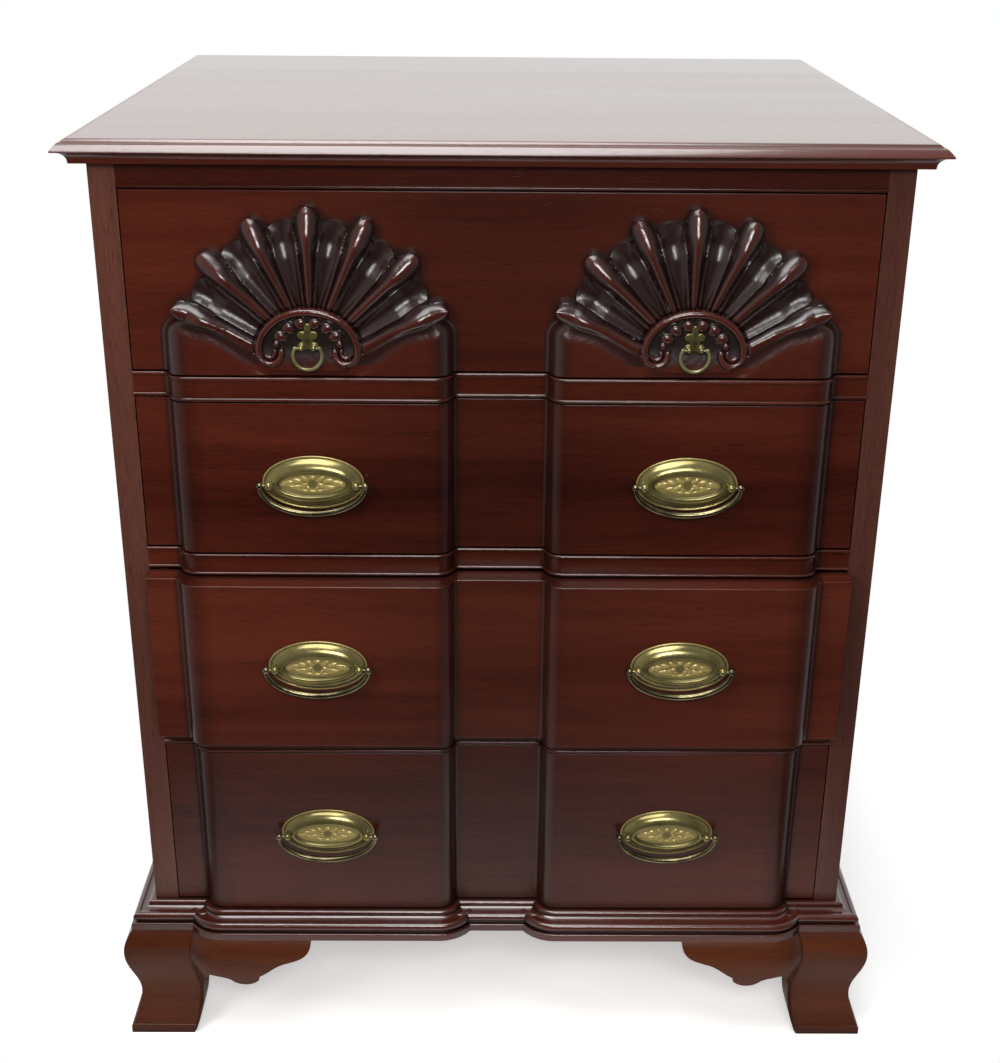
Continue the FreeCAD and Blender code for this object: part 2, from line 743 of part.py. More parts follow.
def foot_glue_blocks():
    """Square blocks glued into the corner of every foot."""
    outer = CASE_HALF - FOOT_BACK
    rear = CASE_DEPTH - FOOT_BACK - REAR_BOARD_THICKNESS
    blocks = []
    for y0 in (FOOT_BACK, rear - GLUE_BLOCK):
        block = box(outer - GLUE_BLOCK, outer, y0, y0 + GLUE_BLOCK, GLUE_BLOCK_LIFT, FOOT_HEIGHT)
        blocks += [mirrored(block), block]
    return Part.makeCompound(blocks)


# ---- sizes of the two kinds of pull ----
class PullKind:
    """Sizes of one kind of pull, and the depth of the wood it sits on."""

    def __init__(self, seat_depth, standoff, post_sizes, bail_sizes):
        self.seat_depth = seat_depth
        self.axis_depth = seat_depth + standoff
        self.post_spread, self.post_radius, self.head_radius, self.pin_radius = post_sizes
        self.drop, self.wire_radius, self.knob_radius = bail_sizes
        past_post = self.head_radius + KNOB_CLEARANCE + self.knob_radius
        self.half_span = self.post_spread / 2 + past_post


OVAL_PULL = PullKind(
    BLOCK_PROJECTION, AXIS_STANDOFF,
    (POST_SPREAD, POST_RADIUS, POST_HEAD_RADIUS, BAIL_PIN_RADIUS),
    (BAIL_DROP, BAIL_RADIUS, BAIL_KNOB_RADIUS),
)
SMALL_PULL = PullKind(
    SMALL_FIELD_DEPTH, SMALL_STANDOFF,
    (SMALL_POST_SPREAD, SMALL_POST_RADIUS, SMALL_HEAD_RADIUS, SMALL_PIN_RADIUS),
    (SMALL_BAIL_DROP, SMALL_BAIL_RADIUS, SMALL_KNOB_RADIUS),
)


# ---- drawers ----
class Drawer:
    """The sizes of one drawer, with its front flush with the case."""

    def __init__(self, index):
        self.index = index
        bottom, top = LEVELS[index]
        self.ajar = DRAWER_AJAR[index]
        self.half = OPENING_HALF - DRAWER_REVEAL
        self.front_low = bottom + DRAWER_REVEAL
        self.front_high = top - DRAWER_REVEAL
        self.side_low = bottom + RUNNING_CLEARANCE
        self.side_high = top - DRAWER_SIDE_DROP
        self.side_inner = self.half - DRAWER_SIDE_THICKNESS
        self.panel_low = self.side_low + DRAWER_BOTTOM_LIFT
        self.panel_high = self.panel_low + DRAWER_BOTTOM_THICKNESS

    def tails(self):
        """Dovetail tails of the right side, which the front has sockets for."""
        first = self.side_low + TAIL_PITCH / 2
        count = int((self.side_high - first - TAIL_WIDE / 2) // TAIL_PITCH) + 1
        tails = []
        for number in range(count):
            middle = first + TAIL_PITCH * number
            corners = [
                (FRONT_THICKNESS, -TAIL_NARROW / 2), (FRONT_THICKNESS - TAIL_LENGTH, -TAIL_WIDE / 2),
                (FRONT_THICKNESS - TAIL_LENGTH, TAIL_WIDE / 2), (FRONT_THICKNESS, TAIL_NARROW / 2),
            ]
            points = [Vector(self.side_inner, y, middle + rise) for y, rise in corners]
            face = Part.Face(Part.makePolygon(points + points[:1]))
            tails.append(face.extrude(Vector(DRAWER_SIDE_THICKNESS, 0, 0)))
        return tails

    def bottom_panel(self):
        """Panel that slides in the grooves of the front and the sides."""
        half = self.side_inner + GROOVE_DEPTH
        near = FRONT_THICKNESS - GROOVE_DEPTH
        return box(-half, half, near, DRAWER_DEPTH, self.panel_low, self.panel_high)

    def sides(self):
        """Left and right sides with their tails and grooves."""
        plank = box(
            self.side_inner, self.half, FRONT_THICKNESS, DRAWER_DEPTH, self.side_low, self.side_high
        )
        side = fused([plank] + self.tails()).cut(self.bottom_panel())
        return pair(side)

    def back(self):
        """Back that stands on the bottom panel between the sides."""
        near = DRAWER_DEPTH - DRAWER_BACK_THICKNESS
        half = self.side_inner
        return box(-half, half, near, DRAWER_DEPTH, self.panel_high, self.side_high)

    def front(self):
        """Front with eased edges, sockets, groove and bolt holes."""
        if self.is_top():
            front = box(
                -self.half, self.half, 0, FRONT_THICKNESS, self.front_low, self.front_high
            )
        else:
            front = blocked_slab(self.half, FRONT_THICKNESS, self.front_low, self.front_high)
        front = front.makeFillet(FRONT_EDGE_ROUND, self.rim_edges(front))
        cuts = self.tails() + [mirrored(tail) for tail in self.tails()]
        cuts.append(self.bottom_panel())
        cuts += self.bolt_holes()
        return front.cut(cuts)

    def rim_edges(self, front):
        """Upper and lower edges of the face that shows."""
        rims = []
        for edge in front.Edges:
            limits = edge.BoundBox
            level = limits.ZMax - limits.ZMin < JOIN_TOLERANCE * 10
            if level and limits.YMax < FRONT_THICKNESS / 2:
                rims.append(edge)
        return rims

    def is_top(self):
        """Whether this is the drawer with the shells."""
        return self.index == DRAWER_COUNT - 1

    def pull_kind(self):
        """Sizes of the pulls on this drawer."""
        return SMALL_PULL if self.is_top() else OVAL_PULL

    def pull_spots(self):
        """Middle of each pull's axis, left and right."""
        y = -self.pull_kind().axis_depth
        if self.is_top():
            z = LEVELS[self.index][0] + SMALL_AXIS_RISE
        else:
            z = (self.front_low + self.front_high) / 2 + PULL_LIFTS[self.index]
        return [Vector(side * BLOCK_CENTRE, y, z) for side in (-1, 1)]

    def post_spots(self):
        """Head of every post on this drawer."""
        half = self.pull_kind().post_spread / 2
        return [spot + Vector(side * half, 0, 0) for spot in self.pull_spots() for side in (-1, 1)]

    def bolt_holes(self):
        """Holes for the bolts of the posts."""
        radius = BOLT_RADIUS + BOLT_HOLE_CLEARANCE
        through = Vector(0, DRAWER_DEPTH / 2, 0)
        return [rod(spot, spot + through, radius) for spot in self.post_spots()]


# ---- carved shells ----
def shell_centre():
    """Point from which the right shell's lobes spread."""
    return Vector(SHELL_CENTRE, 0, LEVELS[-1][0] + SHELL_CENTRE_RISE)


def ray(profile, angle, depth, seam):
    """Round tapered bar that lies along a ray of the shell.

    The profile is drawn along the ray and out from its axis. The seam of the
    round faces lies to the back (1) or to the front (-1), clear of the wood.
    """
    start, moves = profile
    centre = shell_centre() - Vector(0, depth, 0)
    face = outline_face(start, moves, lambda along, out: centre + Vector(along, seam * out, 0))
    bar = face.revolve(centre, Vector(1, 0, 0), 360)
    bar.rotate(centre, Vector(0, -1, 0), angle)
    return bar


def lobe_profile():
    """Half section of a lobe that swells to a round tip."""
    tip = SHELL_RADIUS
    shoulder = (tip - LOBE_TIP_RADIUS, LOBE_TIP_RADIUS)
    end = (tip, 0.0)
    start = (LOBE_ROOT, 0.0)
    bulge = math.tan(math.pi / 8) / 2
    moves = [((LOBE_ROOT, LOBE_ROOT_RADIUS),), (shoulder,), (bulged(end, shoulder, bulge), end)]
    return start, moves


def flute_profile():
    """Half section of the scoop between two lobes."""
    reach = SHELL_RADIUS + LOBE_TIP_RADIUS
    moves = [((FLUTE_ROOT, FLUTE_ROOT_RADIUS),), ((reach, FLUTE_TIP_RADIUS),), ((reach, 0.0),)]
    return (FLUTE_ROOT, 0.0), moves


def above(shape, low=0.0):
    """What lies above a level a little below the shell's centre."""
    return shape.cut(box(0, CASE_HALF, -FAR, FAR, 0, shell_centre().z - low))


def disc(radius, depth):
    """Upper half of a round plate on the drawer front about the shell's centre."""
    return above(Part.makeCylinder(radius, depth, shell_centre(), Vector(0, -1, 0)))


def arch_oval(grow, depth):
    """Oval wire of the arch, wider by grow, at a distance out from the front."""
    middle = Vector(BLOCK_CENTRE, -depth, shell_centre().z)
    across = Vector(ARCH_HALF_WIDTH + grow, 0, 0)
    return Part.Ellipse(middle + across, middle + Vector(0, 0, ARCH_RISE + grow), middle)


def arch_field(grow, depth):
    """Oval plate inside the arch, down to the foot of its volutes."""
    face = Part.Face(Part.Wire(arch_oval(grow, 0.0).toShape()))
    return above(face.extrude(Vector(0, -depth, 0)), VOLUTE_DROP + grow)


def shell_arch():
    """Bead round the small pull, with a volute at each end."""
    spine = Part.Wire(arch_oval(0.0, ARCH_DEPTH).toShape(0, math.pi))
    foot = Vector(BLOCK_CENTRE + ARCH_HALF_WIDTH, -ARCH_DEPTH, shell_centre().z)
    section = Part.Wire(Part.Circle(foot, UP, ARCH_BEAD_RADIUS).toShape())
    bead = spine.makePipeShell([section], True, False)
    out = ARCH_HALF_WIDTH + ARCH_BEAD_RADIUS - VOLUTE_RADIUS
    reach = ARCH_DEPTH + ARCH_BEAD_RADIUS + VOLUTE_PROUD
    spots = [Vector(BLOCK_CENTRE + side * out, 0, foot.z - VOLUTE_DROP) for side in (-1, 1)]
    return [bead] + [Part.makeCylinder(VOLUTE_RADIUS, reach, spot, Vector(0, -1, 0)) for spot in spots]


def shell_block():
    """Right block of the top drawer with its carved shell."""
    centre = shell_centre()
    drawer = Drawer(DRAWER_COUNT - 1)
    high = drawer.front_low + SHELL_SHOULDER
    lower = blocked_slab(drawer.half, FRONT_THICKNESS, drawer.front_low, high)
    lower = lower.common(box(0, drawer.half, -FAR, 0, drawer.front_low, high))
    lower = lower.cut([disc(SHELL_RIM_RADIUS, FAR), arch_field(0.0, FAR)])
    first = UPRIGHT - LOBE_PITCH * (LOBE_COUNT - 1) / 2
    lobes = [
        ray(lobe_profile(), first + LOBE_PITCH * n, LOBE_AXIS_DEPTH, 1) for n in range(LOBE_COUNT)
    ]
    flutes = [
        ray(flute_profile(), first + LOBE_PITCH * (n + 0.5), FLUTE_AXIS_DEPTH, -1)
        for n in range(LOBE_COUNT - 1)
    ]
    fan = disc(SHELL_RIM_RADIUS, SHELL_BACKING).cut(flutes)
    field = arch_field(ARCH_BEAD_RADIUS + MARGIN, SMALL_FIELD_DEPTH)
    carving = fused([lower, fan, field] + lobes + shell_arch())
    holes = [hole for hole in drawer.bolt_holes() if hole.BoundBox.XMin > 0]
    keep = box(0, drawer.half, -FAR, 0, centre.z - FAR, drawer.front_high)
    return carving.common(keep).cut(holes)


# ---- pulls ----
def oval(half_width, half_height, centre, depth):
    """Oval wire that faces the front, at a distance out from its centre."""
    curve = Part.Ellipse(
        centre + Vector(half_width, -depth, 0),
        centre + Vector(0, -depth, half_height),
        centre + Vector(0, -depth, 0),
    )
    return Part.Wire(curve.toShape())


def oval_stack(steps, centre):
    """Solid through ovals, each set in from the plate's edge and raised."""
    half_w = PLATE_WIDTH / 2
    half_h = PLATE_HEIGHT / 2
    ovals = [oval(half_w - inset, half_h - inset, centre, rise) for inset, rise in steps]
    return Part.makeLoft(ovals, True, True)


def pull_plate(axis_spot):
    """Oval plate domed up to a ring round a sunk panel."""
    seat = Vector(axis_spot.x, -BLOCK_PROJECTION, axis_spot.z)
    crown = PLATE_DOME[-1][1]
    foot = ((PLATE_RIM_WIDTH, 0.0), (PLATE_RIM_WIDTH, PLATE_RIM_THICKNESS))
    rim = oval_stack(((0.0, 0.0), (0.0, PLATE_RIM_THICKNESS)), seat)
    dome = oval_stack(foot + PLATE_DOME, seat)
    panel = (PLATE_PANEL_INSET, crown - PLATE_PANEL_DEPTH)
    brim = (PLATE_PANEL_INSET - PLATE_PANEL_SLOPE, crown + MARGIN)
    sink = oval_stack((panel, brim), seat)
    radius = POST_RADIUS + POST_HOLE_CLEARANCE
    holes = []
    for side in (-1, 1):
        spot = seat + Vector(side * POST_SPREAD / 2, 0, 0)
        holes.append(rod(spot + Vector(0, FAR, 0), spot - Vector(0, FAR, 0), radius))
    return rim.fuse(dome).removeSplitter().cut([sink] + holes)


def post(head, kind):
    """Post with a round head, a bolt through the drawer front and a bore."""
    seat = Vector(head.x, -kind.seat_depth, head.z)
    tail = Vector(head.x, FRONT_THICKNESS + BOLT_TAIL, head.z)
    ball = Part.makeSphere(kind.head_radius, head)
    stem = fused([rod(seat, head, kind.post_radius), ball, rod(seat, tail, BOLT_RADIUS)])
    reach = Vector(kind.head_radius * 2, 0, 0)
    return stem.cut(rod(head - reach, head + reach, kind.pin_radius + PIN_CLEARANCE))


def nut(spot):
    """Square-edged nut that draws a post's bolt tight inside the drawer."""
    points = []
    for corner in range(7):
        angle = math.radians(60 * corner)
        x = spot.x + NUT_RADIUS * math.cos(angle)
        points.append(Vector(x, FRONT_THICKNESS, spot.z + NUT_RADIUS * math.sin(angle)))
    body = Part.Face(Part.makePolygon(points)).extrude(Vector(0, NUT_THICKNESS, 0))
    bore = rod(Vector(spot.x, 0, spot.z), Vector(spot.x, FAR, spot.z), BOLT_RADIUS + PIN_CLEARANCE)
    return body.cut(bore)


def bail_line(middle, half, drop):
    """Line of a bail: half an oval, or most of a circle where it hangs deep."""
    if drop < half:
        curve = Part.Ellipse(middle + Vector(half, 0, 0), middle + Vector(0, 0, drop), middle)
        return curve.toShape(math.pi, 2 * math.pi)
    left = middle - Vector(half, 0, 0)
    right = middle + Vector(half, 0, 0)
    return Part.Arc(left, middle - Vector(0, 0, drop), right).toShape()


def bail(middle, kind):
    """Bail that hangs in a loop, with knobs and inward pins."""
    end = Vector(kind.half_span, 0, 0)
    pin_end = Vector(kind.post_spread / 2 - kind.head_radius * PIN_REACH, 0, 0)
    line = bail_line(middle, kind.half_span, kind.drop)
    along = line.tangentAt(line.LastParameter)
    ring = Part.Wire(Part.Circle(middle + end, along, kind.wire_radius).toShape())
    pieces = [Part.Wire(line).makePipeShell([ring], True, False)]
    for side in (-1, 1):
        knob = middle + end * side
        pieces.append(Part.makeSphere(kind.knob_radius, knob))
        pieces.append(rod(middle + pin_end * side, knob, kind.pin_radius))
    return fused(pieces)


def small_plate(axis_spot):
    """Trefoil plate behind a small pull."""
    seat = Vector(axis_spot.x, -SMALL_FIELD_DEPTH, axis_spot.z)
    forward = Vector(0, -1, 0)
    spots = [
        Vector(0, 0, SMALL_TIP_RISE), Vector(-SMALL_LOBE_SPREAD, 0, SMALL_LOBE_RISE),
        Vector(SMALL_LOBE_SPREAD, 0, SMALL_LOBE_RISE),
    ]
    ears = [Vector(side * SMALL_POST_SPREAD / 2, 0, 0) for side in (-1, 1)]
    discs = [
        Part.makeCylinder(SMALL_LOBE_RADIUS, SMALL_PLATE_THICKNESS, seat + spot, forward)
        for spot in spots + ears
    ]
    x, y, z = seat
    half = SMALL_POST_SPREAD / 2
    front = y - SMALL_PLATE_THICKNESS
    stem = box(x - SMALL_LOBE_SPREAD, x + SMALL_LOBE_SPREAD, front, y, z, z + SMALL_TIP_RISE)
    foot = box(x - half, x + half, front, y, z - SMALL_LOBE_RADIUS, z + SMALL_LOBE_RADIUS)
    plate = fused(discs + [stem, foot])
    radius = SMALL_POST_RADIUS + POST_HOLE_CLEARANCE
    through = Vector(0, FAR, 0)
    return plate.cut([rod(seat + ear + through, seat + ear - through, radius) for ear in ears])


# ---- the nodes ----
def drawer_nodes(drawer, number):
    """Every node of one drawer, moved out by as far as it stands open."""
    name = "drawer_%d_" % number
    nodes = {
        name + "front": drawer.front(),
        name + "sides": drawer.sides(),
        name + "back": drawer.back(),
        name + "bottom": drawer.bottom_panel(),
    }
    if drawer.is_top():
        block = shell_block()
        nodes["shell_block_left"] = mirrored(block)
        nodes["shell_block_right"] = block
        plates = [small_plate(spot) for spot in drawer.pull_spots()]
    else:
        plates = [pull_plate(spot) for spot in drawer.pull_spots()]
    kind = drawer.pull_kind()
    posts = [post(spot, kind) for spot in drawer.post_spots()]
    nuts = [nut(spot) for spot in drawer.post_spots()]
    nodes[name + "pull_plates"] = Part.makeCompound(plates)
    nodes[name + "pull_posts"] = Part.makeCompound(posts + nuts)
    for side, spot in zip(("left", "right"), drawer.pull_spots()):
        nodes[name + "bail_" + side] = bail(spot, kind)
    for shape in nodes.values():
        shape.translate(Vector(0, -drawer.ajar, 0))
    return nodes


def case_nodes():
    """Every node of the case, its base and its feet."""
    side = case_side()
    stile = front_stile()
    moulding = base_moulding_side()
    foot = front_foot()
    heel = rear_foot()
    nodes = {
        "top_board": top_board(),
        "case_side_left": mirrored(side),
        "case_side_right": side,
        "front_stile_left": mirrored(stile),
        "front_stile_right": stile,
        "back_panel": back_panel(),
        "top_rail": top_rail(),
        "top_kickers": top_kickers(),
        "base_rail": base_rail(),
        "case_bottom": case_bottom(),
        "drawer_runners": drawer_runners(),
        "dust_panels": dust_panels(),
        "drawer_stops": drawer_stops(),
        "case_screws": case_screws(),
        "base_moulding_front": base_moulding_front(),
        "base_moulding_left": mirrored(moulding),
        "base_moulding_right": moulding,
        "front_foot_left": mirrored(foot),
        "front_foot_right": foot,
        "rear_foot_left": mirrored(heel),
        "rear_foot_right": heel,
        "foot_glue_blocks": foot_glue_blocks(),
    }
    for index, height in enumerate(DIVIDER_HEIGHTS):
        number = len(DIVIDER_HEIGHTS) - index
        nodes["divider_%d" % number] = divider(LEVELS[index][1], height)
    return nodes


def all_nodes():
    """Every node of the chest, with drawer 1 at the top."""
    nodes = case_nodes()
    for index in range(DRAWER_COUNT):
        nodes.update(drawer_nodes(Drawer(index), DRAWER_COUNT - index))
    return nodes


def bottom_centre(nodes):
    """Middle of the floor under the chest's box."""
    limits = [shape.optimalBoundingBox(False, False) for shape in nodes.values()]
    near = min(limit.YMin for limit in limits)
    far = max(limit.YMax for limit in limits)
    return Vector(0, (near + far) / 2, 0)


def main():
    """Make every node, centre the chest and write one file for each node."""
    os.makedirs("parts", exist_ok=True)
    nodes = all_nodes()
    centre = bottom_centre(nodes)
    for name, shape in sorted(nodes.items()):
        shape.translate(-centre)
        shape.exportStep("parts/%s.step" % name)
        print("%-24s solids %2d  valid %s  volume %.0f" % (
            name, len(shape.Solids), shape.isValid(), shape.Volume))
    print("the case front is at y = %.3f" % -centre.y)
    return nodes, centre


NODES, CENTRE = main()
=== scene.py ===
"""Looks of a block front chest of four drawers: carved shells, brass pulls, mahogany and light."""
import logging
import math
from dataclasses import dataclass, field
from enum import Enum
from typing import Callable

import bmesh
import bpy
import numpy as np
from mathutils import Matrix, Vector


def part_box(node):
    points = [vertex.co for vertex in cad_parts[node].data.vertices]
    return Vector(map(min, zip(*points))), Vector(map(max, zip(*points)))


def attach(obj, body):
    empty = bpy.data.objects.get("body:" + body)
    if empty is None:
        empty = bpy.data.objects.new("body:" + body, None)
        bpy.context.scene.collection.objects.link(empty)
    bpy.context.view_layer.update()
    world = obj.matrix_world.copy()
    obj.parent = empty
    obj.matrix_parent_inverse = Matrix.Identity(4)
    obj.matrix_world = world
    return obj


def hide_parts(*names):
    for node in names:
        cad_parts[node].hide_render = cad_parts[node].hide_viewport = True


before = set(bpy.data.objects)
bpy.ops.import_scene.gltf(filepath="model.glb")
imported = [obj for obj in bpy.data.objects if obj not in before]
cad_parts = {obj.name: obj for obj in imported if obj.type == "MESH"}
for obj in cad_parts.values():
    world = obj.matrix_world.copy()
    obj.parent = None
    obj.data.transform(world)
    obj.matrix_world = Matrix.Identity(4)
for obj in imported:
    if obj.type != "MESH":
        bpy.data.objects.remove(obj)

LOG = logging.getLogger("chest")
MM = 0.001
DRAWERS = (1, 2, 3, 4)
TOP_DRAWER = 1
# Darkening of the fronts, towards the middle and as painted shade along the block edges: distances from the
# middle of the chest, in metres
MIDDLE_FADE = (0.05, 0.17)
INNER_SHADE = (0.046, 0.070)
INNER_CUT = (0.034, 0.037)
OUTER_SHADE = (0.250, 0.274)
OUTER_CUT = (0.283, 0.286)
Colour = tuple[float, float, float]
Field = np.ndarray
Point = tuple[float, float, float]


class Side(Enum):
    """Left or right half of the chest, with the sign of its x."""

    LEFT = -1
    RIGHT = 1

    @property
    def word(self) -> str:
        """Word used in the names of nodes and bodies."""
        return self.name.lower()


class Grain(Enum):
    """Way the fibres of a board run: how much each axis is squeezed."""

    ACROSS = (0.055, 1.0, 1.0)
    DEEP = (1.0, 0.055, 1.0)
    UPRIGHT = (1.0, 1.0, 0.055)


# ---- shader node helpers ----
@dataclass
class Tree:
    """Shorthand for building the nodes of one material, world or group."""

    nodes: bpy.types.Nodes
    links: bpy.types.NodeLinks

    @classmethod
    def of(cls, tree: bpy.types.NodeTree) -> "Tree":
        """Tree of an existing node tree."""
        return cls(tree.nodes, tree.links)

    def add(self, kind: str, inputs: dict | None = None, **settings: object) -> bpy.types.Node:
        """Add one node.

        Args:
            kind: Name of the node type, without its "ShaderNode" prefix.
            inputs: Values or sockets for its inputs, by name or place.
            settings: Properties of the node.

        Returns:
            The node.
        """
        full = kind if kind.startswith("NodeGroup") else "ShaderNode" + kind
        node = self.nodes.new(full)
        for name, value in settings.items():
            setattr(node, name, value)
        for key, value in (inputs or {}).items():
            if isinstance(value, bpy.types.NodeSocket):
                self.links.new(value, node.inputs[key])
            else:
                node.inputs[key].default_value = value
        return node

    def math(self, operation: str, first: object, second: object = 0.0) -> bpy.types.NodeSocket:
        """Result of a sum, product or other operation on two numbers."""
        return self.add("Math", {0: first, 1: second}, operation=operation).outputs[0]

    def spread(self, value: object, low: float, high: float, to_low: float,
               to_high: float) -> bpy.types.NodeSocket:
        """Number moved from one range to another and held inside it."""
        limits = {"Value": value, 1: low, 2: high, 3: to_low, 4: to_high}
        return self.add("MapRange", limits).outputs[0]

    def mix(self, share: object, first: object, second: object) -> bpy.types.NodeSocket:
        """Colour between two others."""
        node = self.add("Mix", {0: share}, data_type="RGBA")
        for place, value in ((6, first), (7, second)):
            if isinstance(value, bpy.types.NodeSocket):
                self.links.new(value, node.inputs[place])
            else:
                node.inputs[place].default_value = (*value, 1.0)
        return node.outputs[2]


def new_group(name: str, inputs: dict[str, tuple], outputs: dict[str, str]) -> tuple:
    """Start a shader node group.

    Args:
        name: Name of the group.
        inputs: Socket type and default value of each input.
        outputs: Socket type of each output.

    Returns:
        The group, its tree, its input node and its output node.
    """
    group = bpy.data.node_groups.new(name, "ShaderNodeTree")
    for label, (kind, value) in inputs.items():
        socket = group.interface.new_socket(label, in_out="INPUT", socket_type=kind)
        if value is not None:
            socket.default_value = value
    for label, kind in outputs.items():
        group.interface.new_socket(label, in_out="OUTPUT", socket_type=kind)
    tree = Tree.of(group)
    return group, tree, tree.add("NodeGroupInput"), tree.add("NodeGroupOutput")


FLOAT = "NodeSocketFloat"
VECTOR = "NodeSocketVector"


class Effects:
    """Node groups that several finishes share, each built once."""

    def __init__(self) -> None:
        """Build every group."""
        self.figure = self.figure_group()
        self.crevice = self.crevice_group()
        self.tarnish = self.tarnish_group()

    @staticmethod
    def figure_group() -> bpy.types.NodeTree:
        """Figure of wood: broad clouds, streaks along the fibres and open pores.

        Returns:
            The group, which takes a place squeezed along the fibres.
        """
        group, tree, given, out = new_group(
            "Wood figure",
            {"Place": (VECTOR, None), "Streaks": (FLOAT, 1.0), "Pores": (FLOAT, 1.0)},
            {"Cloud": FLOAT, "Tone": FLOAT, "Pore": FLOAT},
        )
        place = given.outputs["Place"]
        cloud = tree.add("TexNoise", {"Vector": place, "Scale": 9.0, "Detail": 3.0, "Distortion": 0.4})
        wave = tree.add("TexNoise", {"Vector": place, "Scale": 60.0, "Detail": 4.0, "Roughness": 0.62})
        fibre = tree.add("TexNoise", {"Vector": place, "Scale": 420.0, "Detail": 3.0, "Roughness": 0.7})
        pore = tree.add("TexNoise", {"Vector": place, "Scale": 1500.0, "Detail": 1.0})
        streak = tree.math("ADD", tree.math("MULTIPLY", wave.outputs[0], 0.65),
                           tree.math("MULTIPLY", fibre.outputs[0], 0.35))
        centred = tree.math("SUBTRACT", streak, 0.5)
        scaled = tree.math("MULTIPLY", centred, given.outputs["Streaks"])
        tree.links.new(tree.spread(cloud.outputs[0], 0.32, 0.68, 0.0, 1.0), out.inputs["Cloud"])
        tree.links.new(tree.math("ADD", scaled, 0.5), out.inputs["Tone"])
        open_pore = tree.spread(pore.outputs[0], 0.60, 0.72, 0.0, 1.0)
        tree.links.new(tree.math("MULTIPLY", open_pore, given.outputs["Pores"]), out.inputs["Pore"])
        return group

    @staticmethod
    def crevice_group() -> bpy.types.NodeTree:
        """Mask of the narrow places, from ambient occlusion: the polished wood darkens there with wax and
        dirt and with painted shade, the inner wood with dust, and the brass with tarnish.

        Returns:
            The group, which gives 1 deep in a crevice and 0 on open ground.
        """
        group, tree, given, out = new_group(
            "Crevice", {"Reach": (FLOAT, 0.006), "Bite": (FLOAT, 1.0)}, {"Mask": FLOAT}
        )
        shade = tree.add("AmbientOcclusion", {"Distance": given.outputs["Reach"]}, samples=6)
        hidden = tree.math("SUBTRACT", 1.0, shade.outputs["AO"])
        bitten = tree.math("MULTIPLY", hidden, given.outputs["Bite"])
        tree.links.new(tree.spread(bitten, 0.25, 0.95, 0.0, 1.0), out.inputs["Mask"])
        return group

    @staticmethod
    def tarnish_group() -> bpy.types.NodeTree:
        """Uneven dull patches on old metal.

        Returns:
            The group, with broad patches and fine specks.
        """
        group, tree, given, out = new_group(
            "Tarnish", {"Place": (VECTOR, None), "Scale": (FLOAT, 60.0)}, {"Patch": FLOAT, "Speck": FLOAT}
        )
        place = given.outputs["Place"]
        patch = tree.add("TexNoise", {"Vector": place, "Scale": given.outputs["Scale"], "Detail": 4.0})
        fine = tree.math("MULTIPLY", given.outputs["Scale"], 14.0)
        speck = tree.add("TexNoise", {"Vector": place, "Scale": fine, "Detail": 2.0})
        tree.links.new(tree.spread(patch.outputs[0], 0.35, 0.65, 0.0, 1.0), out.inputs["Patch"])
        tree.links.new(tree.spread(speck.outputs[0], 0.45, 0.75, 0.0, 1.0), out.inputs["Speck"])
        return group


EFFECTS = Effects()


def new_material(name: str) -> tuple[bpy.types.Material, Tree, bpy.types.Node]:
    """Start a material.

    Args:
        name: Name of the material.

    Returns:
        The material, its tree and its principled shader.
    """
    material = bpy.data.materials.new(name)
    material.use_nodes = True
    tree = Tree.of(material.node_tree)
    return material, tree, material.node_tree.nodes["Principled BSDF"]


# ---- finishes ----
def figure_of(tree: Tree, grain: Grain, streaks: float) -> tuple[bpy.types.NodeSocket, bpy.types.Node]:
    """Figure of a wood along its grain.

    Args:
        tree: Tree of the material.
        grain: Way the fibres run.
        streaks: Strength of the streaks.

    Returns:
        The place on the piece, and the figure's node.
    """
    place = tree.add("TexCoord").outputs["Object"]
    squeeze = tree.add("Mapping", {"Vector": place, "Scale": grain.value})
    figure = tree.add("Group", node_tree=EFFECTS.figure)
    tree.links.new(squeeze.outputs[0], figure.inputs["Place"])
    figure.inputs["Streaks"].default_value = streaks
    return place, figure


def crevice_of(tree: Tree, reach: float, bite: float = 1.0) -> bpy.types.NodeSocket:
    """Mask of the crevices of a piece, within a reach in metres."""
    crevice = tree.add("Group", node_tree=EFFECTS.crevice)
    crevice.inputs["Reach"].default_value = reach
    crevice.inputs["Bite"].default_value = bite
    return crevice.outputs["Mask"]


def tarnish_of(tree: Tree) -> bpy.types.Node:
    """Tarnish over a piece of metal."""
    tarnish = tree.add("Group", node_tree=EFFECTS.tarnish)
    tree.links.new(tree.add("TexCoord").outputs["Object"], tarnish.inputs["Place"])
    return tarnish


def grain_relief(tree: Tree, shader: bpy.types.Node, figure: bpy.types.Node, depth: float,
                 strength: float) -> None:
    """Give a wood the soft relief of its fibres and pores, of a depth in metres."""
    height = tree.math("SUBTRACT", figure.outputs["Tone"], figure.outputs["Pore"])
    bump = tree.add("Bump", {"Height": height, "Distance": depth, "Strength": strength})
    tree.links.new(bump.outputs[0], shader.inputs["Normal"])


